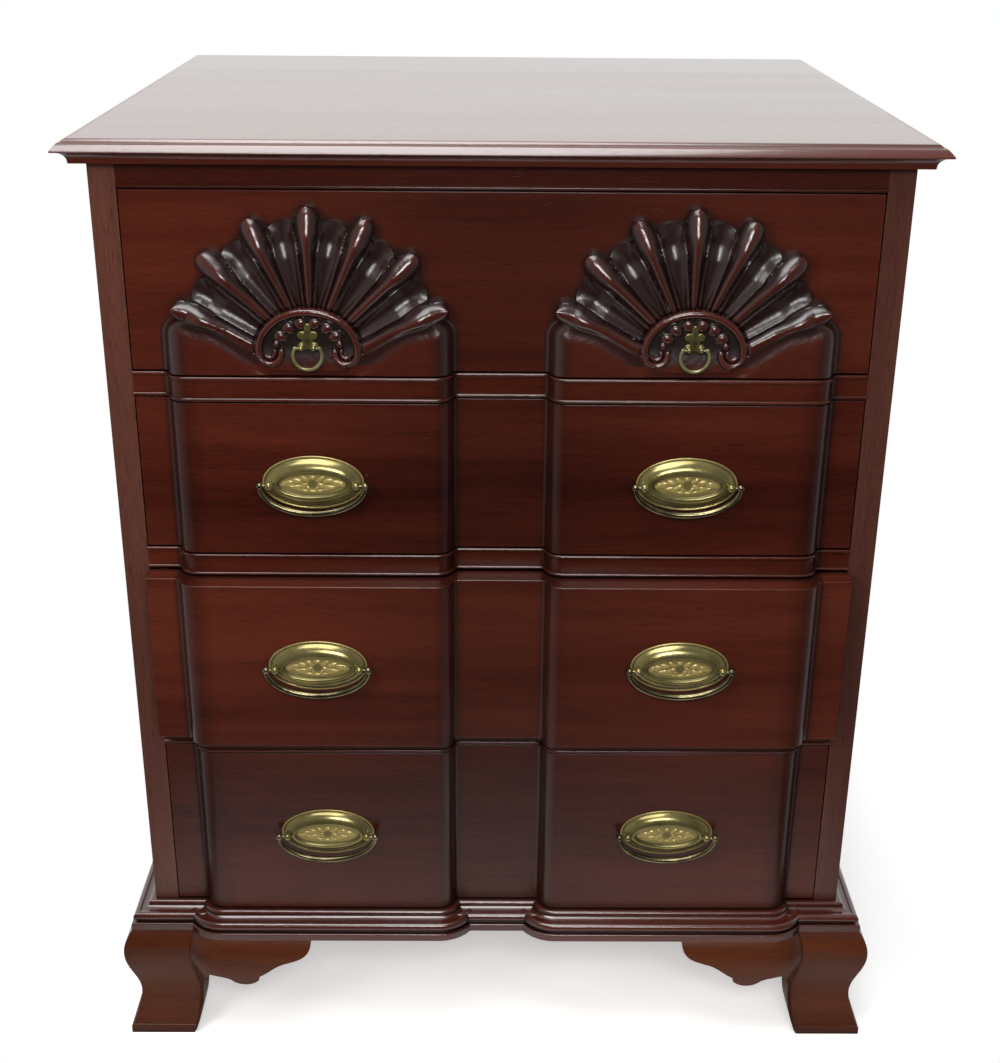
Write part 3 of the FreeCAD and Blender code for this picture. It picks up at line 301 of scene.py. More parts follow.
@dataclass(frozen=True)
class Mahogany:
    """Stained and polished mahogany.

    The gloss is the strength of the mirror of the varnish, the coat is wax
    on what faces up, the side shade is painted shade on what faces sideways,
    the middle is how much darker the wood grows towards the middle of the
    chest, the block edge shade is painted shade along both edges of a block,
    and recess names a value on the mesh that says how deep a place lies in
    the carving, which darkens the wood as dark wax and painted shade. The
    darkest colour takes the painted shade, the pores and the crevices.
    Sideways and upward are the turns of the surface over which the side
    shade and the wax come in.
    """

    name: str
    grain: Grain
    light: Colour = (0.092, 0.0165, 0.0070)
    dark: Colour = (0.022, 0.0026, 0.0014)
    darkest: Colour = (0.003, 0.0014, 0.0011)
    roughness: float = 0.24
    gloss: float = 0.40
    faded: Colour = (0.075, 0.012, 0.006)
    coat: float = 0.0
    streaks: float = 1.6
    relief: float = 0.00006
    crevice_reach: float = 0.014
    bite: float = 1.4
    sideways: tuple[float, float] = (0.12, 0.8)
    upward: tuple[float, float] = (0.15, 0.75)
    wax_roughness: float = 0.12
    side_shade: float = 0.7
    middle: float = 0.0
    block_edge_shade: float = 0.0
    recess: str = ""

    def material(self) -> bpy.types.Material:
        """Build the material.

        Returns:
            The material, with figure, pores, crevices darkened by wax, dirt and painted shade, painted shade
            on what faces sideways, and a soft relief.
        """
        material, tree, shader = new_material(self.name)
        place, figure = figure_of(tree, self.grain, self.streaks)
        tone = tree.math("ADD", tree.math("MULTIPLY", figure.outputs["Tone"], 0.5),
                         tree.math("MULTIPLY", figure.outputs["Cloud"], 0.5))
        share = tree.spread(tone, 0.15, 0.85, 0.0, 1.0)
        facing = tree.add("SeparateXYZ", {0: tree.add("TexCoord").outputs["Normal"]})
        # Painted shade: the wood goes towards its darkest colour where its surface faces sideways, and the
        # middle and the block edges add to this darkening.
        turned_side = tree.math("ABSOLUTE", facing.outputs["X"])
        darkening = tree.spread(turned_side, *self.sideways, 0.0, self.side_shade)
        if self.middle or self.block_edge_shade:
            aside = tree.math("ABSOLUTE", tree.add("SeparateXYZ", {0: place}).outputs["X"])
        if self.middle:
            darkening = tree.math("MAXIMUM", darkening, tree.spread(aside, *MIDDLE_FADE, self.middle, 0.0))
        # Painted shade along both edges of each block, on its flank and on the face beside it.
        if self.block_edge_shade:
            inner = tree.math("MULTIPLY", tree.spread(aside, *INNER_SHADE, self.block_edge_shade, 0.0),
                              tree.spread(aside, *INNER_CUT, 0.0, 1.0))
            outer = tree.math("MULTIPLY", tree.spread(aside, *OUTER_SHADE, 0.0, self.block_edge_shade),
                              tree.spread(aside, *OUTER_CUT, 1.0, 0.0))
            darkening = tree.math("MAXIMUM", darkening, tree.math("MAXIMUM", inner, outer))
        wood = tree.mix(darkening, tree.mix(share, self.dark, self.light), self.darkest)
        if self.coat:
            level = facing.outputs["Z"]
            waxed = tree.spread(level, *self.upward, 0.0, self.coat)
            tree.links.new(waxed, shader.inputs["Coat Weight"])
            shader.inputs["Coat Roughness"].default_value = self.wax_roughness
            deeper = tuple(0.5 * value for value in self.faded)
            bleached = tree.mix(share, deeper, self.faded)
            wood = tree.mix(tree.spread(level, 0.9, 1.0, 0.0, 0.85), wood, bleached)
        pored = tree.mix(tree.math("MULTIPLY", figure.outputs["Pore"], 0.45), wood, self.darkest)
        # Crevices from ambient occlusion, and the recess value of the carving, darken the wood: partly wax
        # and dirt, partly painted shade.
        mask = crevice_of(tree, self.crevice_reach, self.bite)
        if self.recess:
            depth = tree.add("Attribute", attribute_name=self.recess).outputs["Fac"]
            mask = tree.math("MAXIMUM", mask, depth)
        darkened = tree.mix(tree.math("MULTIPLY", mask, 0.92), pored, self.darkest)
        tree.links.new(darkened, shader.inputs["Base Color"])
        worn = tree.math("MULTIPLY", figure.outputs["Cloud"], 0.10)
        rough = tree.math("ADD", tree.math("ADD", worn, self.roughness - 0.05),
                          tree.math("MULTIPLY", mask, 0.15))
        tree.links.new(rough, shader.inputs["Roughness"])
        grain_relief(tree, shader, figure, self.relief, 0.5)
        shader.inputs["Specular IOR Level"].default_value = self.gloss
        return material


@dataclass(frozen=True)
class PlainWood:
    """Unfinished wood of the inside, pale and dry."""

    name: str
    grain: Grain
    light: Colour = (0.36, 0.22, 0.11)
    dark: Colour = (0.21, 0.12, 0.055)
    dust: Colour = (0.10, 0.07, 0.045)
    streaks: float = 2.6
    relief: float = 0.0003
    crevice_reach: float = 0.02

    def material(self) -> bpy.types.Material:
        """Build the material.

        Returns:
            The material, with figure, open pores and dusty corners.
        """
        material, tree, shader = new_material(self.name)
        _, figure = figure_of(tree, self.grain, self.streaks)
        wood = tree.mix(figure.outputs["Tone"], self.dark, self.light)
        aged = tree.mix(tree.math("MULTIPLY", figure.outputs["Cloud"], 0.35), wood, self.dark)
        mask = crevice_of(tree, self.crevice_reach)
        dusty = tree.mix(tree.math("MULTIPLY", mask, 0.6), aged, self.dust)
        tree.links.new(dusty, shader.inputs["Base Color"])
        rough = tree.spread(figure.outputs["Tone"], 0.0, 1.0, 0.72, 0.58)
        tree.links.new(rough, shader.inputs["Roughness"])
        grain_relief(tree, shader, figure, self.relief, 0.6)
        shader.inputs["Specular IOR Level"].default_value = 0.3
        return material


@dataclass(frozen=True)
class Brass:
    """Old brass with dark tarnish in its hollows, rubbed to gilt where the mesh says so."""

    name: str
    bright: Colour = (0.30, 0.255, 0.100)
    dull: Colour = (0.13, 0.108, 0.040)
    darkest: Colour = (0.022, 0.018, 0.007)
    gilt: Colour = (0.40, 0.31, 0.105)
    roughness: float = 0.20
    tarnish: float = 0.6
    metallic: float = 0.8
    crevice_reach: float = 0.004
    recess: str = ""

    def material(self) -> bpy.types.Material:
        """Build the material.

        Returns:
            The material, bright on its crests and dark in its hollows.
        """
        material, tree, shader = new_material(self.name)
        tarnish = tarnish_of(tree)
        patch = tree.math("MULTIPLY", tarnish.outputs["Patch"], self.tarnish)
        metal = tree.mix(patch, self.bright, self.dull)
        shader.inputs["Metallic"].default_value = self.metallic
        if self.recess:
            rubbed = tree.add("Attribute", attribute_name="gilt").outputs["Fac"]
            metal = tree.mix(rubbed, metal, self.gilt)
            tree.links.new(tree.spread(rubbed, 0.0, 1.0, self.metallic, 0.3), shader.inputs["Metallic"])
            mask = tree.add("Attribute", attribute_name=self.recess).outputs["Fac"]
        else:
            mask = crevice_of(tree, self.crevice_reach)
        darkened = tree.mix(tree.math("MULTIPLY", mask, 0.85), metal, self.darkest)
        tree.links.new(darkened, shader.inputs["Base Color"])
        speck = tree.math("MULTIPLY", tarnish.outputs["Speck"], 0.05)
        rough = tree.math("ADD", tree.math("ADD", speck, self.roughness),
                          tree.math("MULTIPLY", mask, 0.3))
        tree.links.new(rough, shader.inputs["Roughness"])
        bump = tree.add("Bump", {"Height": tarnish.outputs["Speck"], "Distance": 0.00001, "Strength": 0.2})
        tree.links.new(bump.outputs[0], shader.inputs["Normal"])
        return material


@dataclass(frozen=True)
class Steel:
    """Dull steel of screws."""

    name: str
    bright: Colour = (0.33, 0.32, 0.30)
    rust: Colour = (0.10, 0.05, 0.03)
    patches: float = 200.0

    def material(self) -> bpy.types.Material:
        """Build the material.

        Returns:
            The material, with brown specks.
        """
        material, tree, shader = new_material(self.name)
        tarnish = tarnish_of(tree)
        tarnish.inputs["Scale"].default_value = self.patches
        metal = tree.mix(tarnish.outputs["Patch"], self.bright, self.rust)
        tree.links.new(metal, shader.inputs["Base Color"])
        rough = tree.spread(tarnish.outputs["Speck"], 0.0, 1.0, 0.38, 0.6)
        tree.links.new(rough, shader.inputs["Roughness"])
        shader.inputs["Metallic"].default_value = 0.9
        return material


class Finishes:
    """Every finish of the chest, each made once."""

    def __init__(self) -> None:
        """Build every material."""
        foot_tones = {"light": (0.092, 0.0230, 0.0075), "dark": (0.024, 0.0050, 0.0025)}
        stile_tones = {"light": (0.100, 0.0350, 0.0240), "dark": (0.034, 0.0100, 0.0070)}
        self.top = Mahogany("top_mahogany", Grain.ACROSS, gloss=0.8, coat=0.8, side_shade=0.0,
                            crevice_reach=0.004,
                            faded=(0.172, 0.060, 0.025)).material()
        self.upright = Mahogany("upright_mahogany", Grain.UPRIGHT, **stile_tones).material()
        self.side = Mahogany("side_mahogany", Grain.UPRIGHT, side_shade=0.0).material()
        # The rail's light tone is lowered to paint the shade that the top casts on the top rail; the base
        # rail shares the material.
        self.rail = Mahogany("rail_mahogany", Grain.ACROSS, roughness=0.2, coat=0.6,
                             light=(0.052, 0.0100, 0.0055)).material()
        self.divider = Mahogany("divider_mahogany", Grain.ACROSS, roughness=0.2, coat=0.6,
                                middle=0.2, block_edge_shade=0.5).material()
        self.moulding = Mahogany("moulding_mahogany", Grain.ACROSS, gloss=0.7, roughness=0.22,
                                 coat=0.8).material()
        self.side_moulding = Mahogany("side_moulding_mahogany", Grain.DEEP, gloss=0.7, coat=0.8,
                                      side_shade=0.0).material()
        self.flat_front = Mahogany("flat_front_mahogany", Grain.ACROSS, middle=0.35).material()
        self.front = Mahogany("front_mahogany", Grain.ACROSS, middle=0.32, block_edge_shade=0.6).material()
        self.foot = Mahogany("foot_mahogany", Grain.ACROSS, gloss=0.14, coat=0.5, side_shade=0.35,
                             **foot_tones).material()
        self.carved = Mahogany(
            "carved_mahogany", Grain.ACROSS, gloss=0.85, roughness=0.18, streaks=1.0, recess="recess",
            light=(0.070, 0.0130, 0.0060), dark=(0.030, 0.0036, 0.0018), relief=0.00003, side_shade=0.3,
        ).material()
        self.inner_across = PlainWood("inner_wood_across", Grain.ACROSS).material()
        self.inner_deep = PlainWood("inner_wood_deep", Grain.DEEP).material()
        self.inner_upright = PlainWood("inner_wood_upright", Grain.UPRIGHT).material()
        self.plate = Brass("plate_brass", recess="recess").material()
        self.bail = Brass("bail_brass", roughness=0.24, tarnish=1.0, bright=(0.28, 0.24, 0.13),
                          dull=(0.085, 0.070, 0.038), metallic=1.0).material()
        self.ring = Brass("ring_brass", roughness=0.30, tarnish=1.0, bright=(0.26, 0.25, 0.12),
                          dull=(0.13, 0.12, 0.055), metallic=0.6).material()
        self.steel = Steel("screw_steel").material()


# ---- mesh helpers ----
def smooth_step(value: Field, low: float, high: float) -> Field:
    """Rise from 0 to 1 between two values, with soft ends."""
    share = np.clip((value - low) / (high - low), 0.0, 1.0)
    return share * share * (3.0 - 2.0 * share)


def soft_max(first: Field, second: Field, blend: float) -> Field:
    """Greater of two heights, with their meeting rounded over a width."""
    share = np.clip(0.5 + 0.5 * (first - second) / blend, 0.0, 1.0)
    return second + (first - second) * share + blend * share * (1.0 - share)


def dome(distance: Field, reach: Field | float) -> Field:
    """Section of a round bar: 1 over its middle, 0 at its reach and beyond."""
    return np.sqrt(np.clip(1.0 - (distance / reach) ** 2, 0.0, 1.0))


def as_object(name: str, mesh: bpy.types.Mesh, finish: bpy.types.Material) -> bpy.types.Object:
    """Object of a mesh, shown with one finish."""
    piece = bpy.data.objects.new(name, mesh)
    bpy.context.scene.collection.objects.link(piece)
    mesh.materials.append(finish)
    return piece


def shade(mesh: bpy.types.Mesh, sharp_degrees: float = 40.0) -> None:
    """Smooth the faces of a mesh but keep its sharp edges."""
    mesh.polygons.foreach_set("use_smooth", [True] * len(mesh.polygons))
    mesh.set_sharp_from_angle(angle=math.radians(sharp_degrees))
    mesh.update()


@dataclass
class Relief:
    """Closed solid with a flat back, whose front is a height over a plane.

    Across is measured in +x and up in +z, both in millimetres from an
    origin, and heights stand out towards -y.
    """

    name: str
    window: tuple[float, float, float, float]
    cell: float
    inside: Callable[[Field, Field], Field]
    height: Callable[[Field, Field], Field]
    sunk: Callable[[Field, Field, Field], Field]

    def mesh(self) -> bpy.types.Mesh:
        """Build the mesh.

        Returns:
            The mesh in metres about the origin, with the "recess" value that
            sunk gives for the place and height of each point.
        """
        left, right, low, high = self.window
        across = np.linspace(left, right, int((right - left) / self.cell) + 1)
        up = np.linspace(low, high, int((high - low) / self.cell) + 1)
        grid_x, grid_z = np.meshgrid(across, up, indexing="ij")
        share = self.inside(grid_x, grid_z)
        spots, faces = self.outline(share, grid_x, grid_z)
        heights = self.height(spots[:, 0], spots[:, 1])
        mesh = bpy.data.meshes.new(self.name)
        verts = np.column_stack([spots[:, 0], -heights, spots[:, 1]]) * MM
        mesh.from_pydata(verts.tolist(), [], faces)
        depth = np.clip(self.sunk(spots[:, 0], spots[:, 1], heights), 0.0, 1.0)
        values = mesh.attributes.new("recess", "FLOAT", "POINT")
        values.data.foreach_set("value", depth.astype(np.float32))
        self.close(mesh)
        shade(mesh)
        return mesh

    def outline(self, share: Field, grid_x: Field, grid_z: Field) -> tuple[Field, list]:
        """Cells inside the outline, cut where they cross it.

        Args:
            share: Value over the grid that is positive inside.
            grid_x: Place of each grid point across.
            grid_z: Place of each grid point up.

        Returns:
            The points as an array of pairs, and the faces as lists of them.
        """
        spots: list = []
        known: dict = {}

        def corner(spot: tuple[int, int]) -> int:
            """Number of a grid point."""
            if spot not in known:
                known[spot] = len(spots)
                spots.append((grid_x[spot], grid_z[spot]))
            return known[spot]

        def crossing(start: tuple[int, int], end: tuple[int, int]) -> int:
            """Number of the point where the outline cuts a grid line."""
            key = (min(start, end), max(start, end))
            if key not in known:
                here, there = share[key[0]], share[key[1]]
                part = min(max(here / (here - there), 0.06), 0.94)
                known[key] = len(spots)
                spots.append(tuple(
                    grid[key[0]] + (grid[key[1]] - grid[key[0]]) * part for grid in (grid_x, grid_z)
                ))
            return known[key]

        faces = []
        held = share > 0.0
        busy = held[:-1, :-1] | held[1:, :-1] | held[1:, 1:] | held[:-1, 1:]
        for i, j in zip(*np.nonzero(busy)):
            ring = [(i, j), (i + 1, j), (i + 1, j + 1), (i, j + 1)]
            face = []
            for start, end in zip(ring, ring[1:] + ring[:1]):
                if held[start]:
                    face.append(corner(start))
                if held[start] != held[end]:
                    face.append(crossing(start, end))
            faces.append(face)
        return np.array(spots), faces

    @staticmethod
    def close(mesh: bpy.types.Mesh) -> None:
        """Give the front an edge down to the plane and a flat back."""
        solid = bmesh.new()
        solid.from_mesh(mesh)
        rim = [edge for edge in solid.edges if edge.is_boundary]
        walls = bmesh.ops.extrude_edge_only(solid, edges=rim)["geom"]
        base = [item for item in walls if isinstance(item, bmesh.types.BMVert)]
        for vert in base:
            vert.co.y = 0.0
        open_edges = [edge for edge in solid.edges if edge.is_boundary]
        bmesh.ops.holes_fill(solid, edges=open_edges, sides=0)
        bmesh.ops.recalc_face_normals(solid, faces=solid.faces)
        solid.to_mesh(mesh)
        solid.free()


# ---- carved shells of the top drawer ----
@dataclass
class ShellBlock:
    """Block of the top drawer with a shell carved at its head, in millimetres.

    Places are taken from the shell's centre: across is outward, away from
    the middle of the chest, and up is up.
    """

    side: Side
    block_shift: float = 2.0
    half_width: float = 124.0
    face: float = 16.0
    crown: float = 15.0
    hollow: float = 5.0
    centre_rise: float = 22.7
    flank_top: float = 24.0
    head_rise: float = 14.0
    head_inset: float = 12.0
    lobe_pitch: float = 24.3
    lobe_steps: int = 3
    tip_length: float = 20.5
    tip_start: float = 98.0
    lobe_reach: tuple = (38.0, 58.0, 80.0, 90.0, 98.0)
    lobe_half: tuple = (3.0, 4.5, 6.6, 8.6, 10.0)
    outer_half: tuple = (10.0, 8.3, 6.8, 8.0, 10.0)
    crest_reach: tuple = (36.0, 60.0, 78.0, 86.0, 91.0, 95.0, 99.0, 104.0, 109.0, 113.0, 116.0, 118.5)
    crest: tuple = (12.5, 14.6, 17.4, 18.8, 19.2, 18.8, 17.8, 16.2, 14.9, 13.8, 12.2, 9.5)
    low_crest: float = 16.2
    border: float = 9.2
    flute_tip: float = 97.0
    flute_reach: float = 11.0
    flute_half: float = 13.5
    floor: tuple = (8.2, 4.5)
    floor_fall: tuple = (76.0, 92.0)
    ridge: float = 12.2
    ridge_width: float = 2.3
    arch_half: float = 40.9
    arch_rise: float = 32.6
    bead: float = 3.1
    bead_seat: float = 13.8
    arch_field: float = 12.6
    sill: float = 17.0
    petals: tuple = (150.0, 127.0, 103.0, 77.0, 53.0, 30.0)
    cell: float = 0.75
    droop: float = 11.0
    droop_fall: tuple = (50.0, 22.0)
    droop_full: float = 73.0
    fan_foot: float = -12.0
    scroll_middle: tuple = (31.6, -1.6)
    scroll_radius: float = 9.6
    scroll_span: tuple = (-185.0, 20.0)
    scroll_half: float = 2.6
    foot_trim: float = 1.0
    turn: float = field(init=False)
    shoulder: float = field(init=False)

    def __post_init__(self) -> None:
        """Work out the turn of the block's shoulder."""
        self.turn = math.acos(1.0 - self.face / (self.crown + self.hollow))
        self.shoulder = (self.crown + self.hollow) * math.sin(self.turn)

    def bend(self, reach: Field, angle: Field) -> Field:
        """Turn, in degrees, by which the outer rays droop near their root."""
        start, fall = self.droop_fall
        droop = self.droop * np.exp(-(reach - start) / fall)
        return droop * (np.abs(angle) / self.droop_full) ** 3 * np.sign(angle)

    def ray_place(self, x: Field, z: Field) -> tuple[Field, Field, Field]:
        """Place among the rays of the shell.

        Args:
            x: Distance outward from the shell's centre.
            z: Distance up from it.

        Returns:
            Number of the nearest lobe, distance from the centre, and
            distance sideways from that lobe's middle line.
        """
        reach = np.hypot(x, z)
        seen = np.degrees(np.arctan2(x, z))
        angle = seen
        for _ in range(4):
            angle = seen - self.bend(reach, np.clip(angle, -90.0, 90.0))
        lobe = np.clip(np.rint(angle / self.lobe_pitch), -self.lobe_steps, self.lobe_steps)
        turn = np.clip(angle - lobe * self.lobe_pitch, -90.0, 90.0)
        return lobe, reach, reach * np.sin(np.radians(turn))

    def half_at(self, lobe: Field, reach: Field, aside: Field) -> Field:
        """Half width of a lobe, wider below the two lowest ones."""
        plain = np.interp(reach, self.lobe_reach, self.lobe_half)
        wide = np.interp(reach, self.lobe_reach, self.outer_half)
        below = (np.abs(lobe) == self.lobe_steps) & (lobe * aside > 0.0)
        return np.where(below, wide, plain)

    def tip_share(self, reach: Field, aside: Field) -> Field:
        """Share of the way from the spine of a swollen tip to its outline."""
        past = np.maximum(reach - self.tip_start, 0.0) / self.tip_length
        return (np.abs(aside / self.lobe_half[-1]) ** 3 + past**3) ** (1.0 / 3.0)

    def lobe_distance(self, lobe: Field, reach: Field, aside: Field) -> Field:
        """Distance outside a lobe, negative inside it."""
        half = self.half_at(lobe, reach, aside)
        share = np.maximum(self.tip_share(reach, aside), 1e-3)
        past = np.maximum(reach - self.tip_start, 0.0) / self.tip_length
        across = (aside / self.lobe_half[-1]) ** 2 / self.lobe_half[-1]
        slope = np.maximum(np.hypot(across, past**2 / self.tip_length) / share**2, 1e-3)
        return np.where(reach > self.tip_start, (share - 1.0) / slope, np.abs(aside) - half)

    def flute_distance(self, reach: Field, aside: Field) -> Field:
        """Distance outside the scalloped end of a flute, negative inside."""
        middle = reach * math.sin(math.radians(self.lobe_pitch / 2.0)) - np.abs(aside)
        return reach - self.flute_tip - self.flute_reach * dome(middle, self.flute_half)

    def arch_distance(self, x: Field, z: Field) -> Field:
        """Distance outside the line of the arch, negative inside."""
        across = (x - self.block_shift) / self.arch_half
        up = z / self.arch_rise
        size = np.maximum(np.hypot(across, up), 1e-6)
        slope = np.hypot(across / self.arch_half, up / self.arch_rise)
        return (size - 1.0) * size / np.maximum(slope, 1e-6)

    def inset(self, x: Field, z: Field) -> Field:
        """Distance in from the block's side, which curves inward at its head."""
        rise = np.clip((z - self.flank_top + self.head_rise) / self.head_rise, 0.0, 1.0)
        drawn_in = self.head_inset * (1.0 - np.sqrt(1.0 - rise**2))
        return self.half_width - drawn_in - np.abs(x - self.block_shift)

    def flank(self, x: Field, z: Field) -> Field:
        """Height of the block's blocked section."""
        inset = self.inset(x, z)
        low = self.hollow - np.sqrt(np.clip(self.hollow**2 - inset**2, 0.0, None))
        top = self.face - self.crown
        round_part = top + np.sqrt(np.clip(self.crown**2 - (self.shoulder - inset) ** 2, 0.0, None))
        foot = self.hollow * math.sin(self.turn)
        rising = np.where(inset < foot, low, round_part)
        return np.where(inset > self.shoulder, self.face, np.where(inset < 0.0, 0.0, rising))

    def inside(self, x: Field, z: Field) -> Field:
        """Value that is positive inside the block's outline."""
        lobe, reach, aside = self.ray_place(x, z)
        fan = np.minimum(self.lobe_distance(lobe, reach, aside), self.flute_distance(reach, aside))
        fan = np.where(z > 0.0, -fan, -99.0)
        block = np.minimum(self.inset(x, z), self.flank_top - z)
        return np.minimum(np.maximum(fan, block), z + self.centre_rise - self.foot_trim)

    def crest_at(self, lobe: Field, reach: Field) -> Field:
        """Height of the spine of a lobe; the lowest ones stay over the block's face."""
        shifts = (-3.0, -1.5, 0.0, 1.5, 3.0)
        crest = np.mean([np.interp(reach + shift, self.crest_reach, self.crest) for shift in shifts], axis=0)
        return np.where(np.abs(lobe) == self.lobe_steps, np.maximum(crest, self.low_crest), crest)

    def lobes(self, lobe: Field, reach: Field, aside: Field) -> Field:
        """Height of the lobes."""
        past = np.clip((reach - self.tip_start) / self.tip_length, 0.0, 1.0)
        half = self.half_at(lobe, reach, aside) * (1.0 - past**3) ** (1.0 / 3.0)
        away = np.abs(aside) / np.maximum(half, 0.5)
        crest = self.crest_at(lobe, reach)
        border = self.border - 1.6 * smooth_step(reach, 70.0, 100.0)
        return border + (crest - border) * dome(away, 1.0) ** 1.6

    def flutes(self, reach: Field, aside: Field, edge: Field) -> Field:
        """Height of the hollow flutes and of the thin ridges beside the lobes."""
        middle = reach * math.sin(math.radians(self.lobe_pitch / 2.0))
        room = np.maximum(middle - np.abs(aside) + edge, 0.5)
        width = np.minimum(self.ridge_width, room * 0.42)
        floor = self.floor[0] + (self.floor[1] - self.floor[0]) * smooth_step(reach, *self.floor_fall)
        ridge = np.minimum(self.ridge, floor + 4.4) - 2.4 * smooth_step(reach, 96.0, 109.0)
        crest = (self.border - 0.4) + (ridge - self.border + 0.4) * dome(edge - width * 0.55, width * 0.6)
        share = np.clip((edge - width) / np.maximum(room - width, 0.3), 0.0, 1.0)
        hollow = floor + (ridge - 0.5 - floor) * (1.0 - share) ** 2
        return np.where(edge < width, np.maximum(crest, self.border - 0.4), hollow)

    def bar(self, x: Field, z: Field, centre: tuple, radius: float, span: tuple, half: float,
            top: float) -> Field:
        """Height of a round bar bent along part of a circle, in the arch.

        Args:
            x: Distance outward from the arch's middle.
            z: Distance up.
            centre: Middle of the circle, on the outer side.
            radius: Radius of the circle.
            span: First and last angle of the bar, in degrees from outward.
            half: Half width of the bar.
            top: Height of its crest.

        Returns:
            The height, or 0 away from the bar.
        """
        across = np.abs(x) - centre[0]
        up = z - centre[1]
        angle = np.degrees(np.arctan2(up, across))
        angle = np.where(angle > span[1], angle - 360.0, angle)
        held = np.clip(angle, span[0], span[1])
        near_x = radius * np.cos(np.radians(held))
        near_z = radius * np.sin(np.radians(held))
        away = np.hypot(across - near_x, up - near_z)
        return np.where(away < half, top - half + half * dome(away, half), 0.0)

    def scroll(self, across: Field, z: Field, top: float) -> Field:
        """Height of the scroll at each foot of the arch."""
        return self.bar(across, z, self.scroll_middle, self.scroll_radius, self.scroll_span,
                        self.scroll_half, top)

    def arch(self, x: Field, z: Field) -> Field:
        """Height inside the arch: its sunk field, petals and scrolls."""
        across = x - self.block_shift
        height = np.full_like(x, self.arch_field)
        for degrees in self.petals:
            way = (math.cos(math.radians(degrees)), math.sin(math.radians(degrees)))
            oval = self.arch_rise / self.arch_half
            along = across * way[0] + z / oval**0.5 * way[1] - 26.0
            aside = -across * way[1] + z / oval**0.5 * way[0]
            away = np.hypot(along / 6.6, aside / (5.6 + 0.16 * along))
            height = np.maximum(height, self.arch_field - 0.8 + 4.2 * dome(away, 1.0))
        scroll = self.scroll(across, z, 16.2)
        inner = self.bar(across, z, self.scroll_middle, 4.2, (-200.0, -20.0), 1.7, 15.2)
        button = self.arch_field + 3.4 * dome(np.hypot(np.abs(across) - 26.2, z - 5.2) / 3.4, 1.0)
        for part in (scroll, inner, button):
            height = np.maximum(height, part)
        sill = smooth_step(-z, -6.0, self.sill + 2.0)
        return np.minimum(height + (self.face - self.arch_field) * sill, np.where(z < -13.0, self.face, 99.0))

    def height(self, x: Field, z: Field) -> Field:
        """Height of the whole block, carving and all."""
        lobe, reach, aside = self.ray_place(x, z)
        edge = self.lobe_distance(lobe, reach, aside)
        past = np.maximum(edge, 0.0)
        fan = np.where(edge < 0.0, self.lobes(lobe, reach, aside), self.flutes(reach, aside, past))
        outside = (np.abs(lobe) == self.lobe_steps) & (lobe * aside > 0.0)
        gap = np.where(outside, past, 99.0)
        groove = 1.8 * np.exp(-((gap / 6.0) ** 2))
        block = np.maximum(self.flank(x, z) - groove, 0.0)
        height = np.where(outside, soft_max(fan * (edge < 0.0), block, 1.5), fan)
        height = np.where(z < self.fan_foot, block, height)
        height = self.with_arch(x, z, height)
        low = np.clip(z + self.centre_rise - self.foot_trim, 0.0, 1.0)
        eased = height - (1.0 - np.sqrt(1.0 - (1.0 - low) ** 2))
        wave = 0.05 * np.sin(x * 0.83 + 0.9 * np.sin(z * 0.37)) * np.sin(z * 0.71 + 1.3 * np.sin(x * 0.29))
        return np.maximum(eased + wave * (height > 1.0), 0.0)

    def sunk(self, x: Field, z: Field, height: Field) -> Field:
        """Share by which the carved wood is darkened: dark wax and painted shade where places lie under the
        crests near them and in the field of the arch, and painted shade at the foot of the lowest lobes and
        along the block's sides.
        """
        lobe, reach, aside = self.ray_place(x, z)
        edge = self.lobe_distance(lobe, reach, aside)
        crest = self.crest_at(lobe, reach)
        # Dark wax and painted shade, deeper the further a place lies under its lobe's crest, so the lobes'
        # sides darken too.
        fan = np.clip((crest - height) / 3.2 + 0.12, 0.0, 0.86)
        outside = (np.abs(lobe) == self.lobe_steps) & (lobe * aside > 0.0) & (edge > 0.0)
        # Painted shade on the block's face around the foot of the lowest lobes.
        lobe_foot_shade = 0.8 * np.exp(-((edge / 5.0) ** 2)) * (z > self.fan_foot)
        away = self.arch_distance(x, z)
        # Dark wax and painted shade in the sunk field of the arch.
        arch = (self.arch_field + 4.0 - height) / 3.4 * smooth_step(z, -self.sill, -self.sill / 2.0)
        # Painted shade along the block's sides.
        beside = 0.75 * smooth_step(-self.inset(x, z), -30.0, -8.0)
        around = np.where(outside | (z < self.fan_foot), np.maximum(lobe_foot_shade, beside), fan)
        return np.where((away < 0.0) & (z > -self.sill), arch, around)

    def with_arch(self, x: Field, z: Field, height: Field) -> Field:
        """Height with the arch, its bead and its scrolls laid over the rest."""
        away = self.arch_distance(x, z)
        across, up = self.scroll_middle
        scroll_side = across + np.sqrt(np.clip(self.scroll_radius**2 - (z - up) ** 2, 0.0, None))
        between = (np.abs(x - self.block_shift) < scroll_side) & (z <= 0.0) & (z > -self.sill)
        bead = np.where(np.abs(away) < self.bead, self.bead_seat + self.bead * dome(away, self.bead), 0.0)
        bead = np.where(z > -3.0, bead, 0.0)
        dip = 1.6 * np.exp(-(((away - self.bead - 0.6) / 1.1) ** 2)) * (z > -3.0)
        laid = np.where((away < 0.0) & (z > 0.0) | between, self.arch(x, z), height - dip)
        scroll = self.scroll(x - self.block_shift, z, 16.6)
        return np.maximum(np.maximum(laid, bead), scroll)

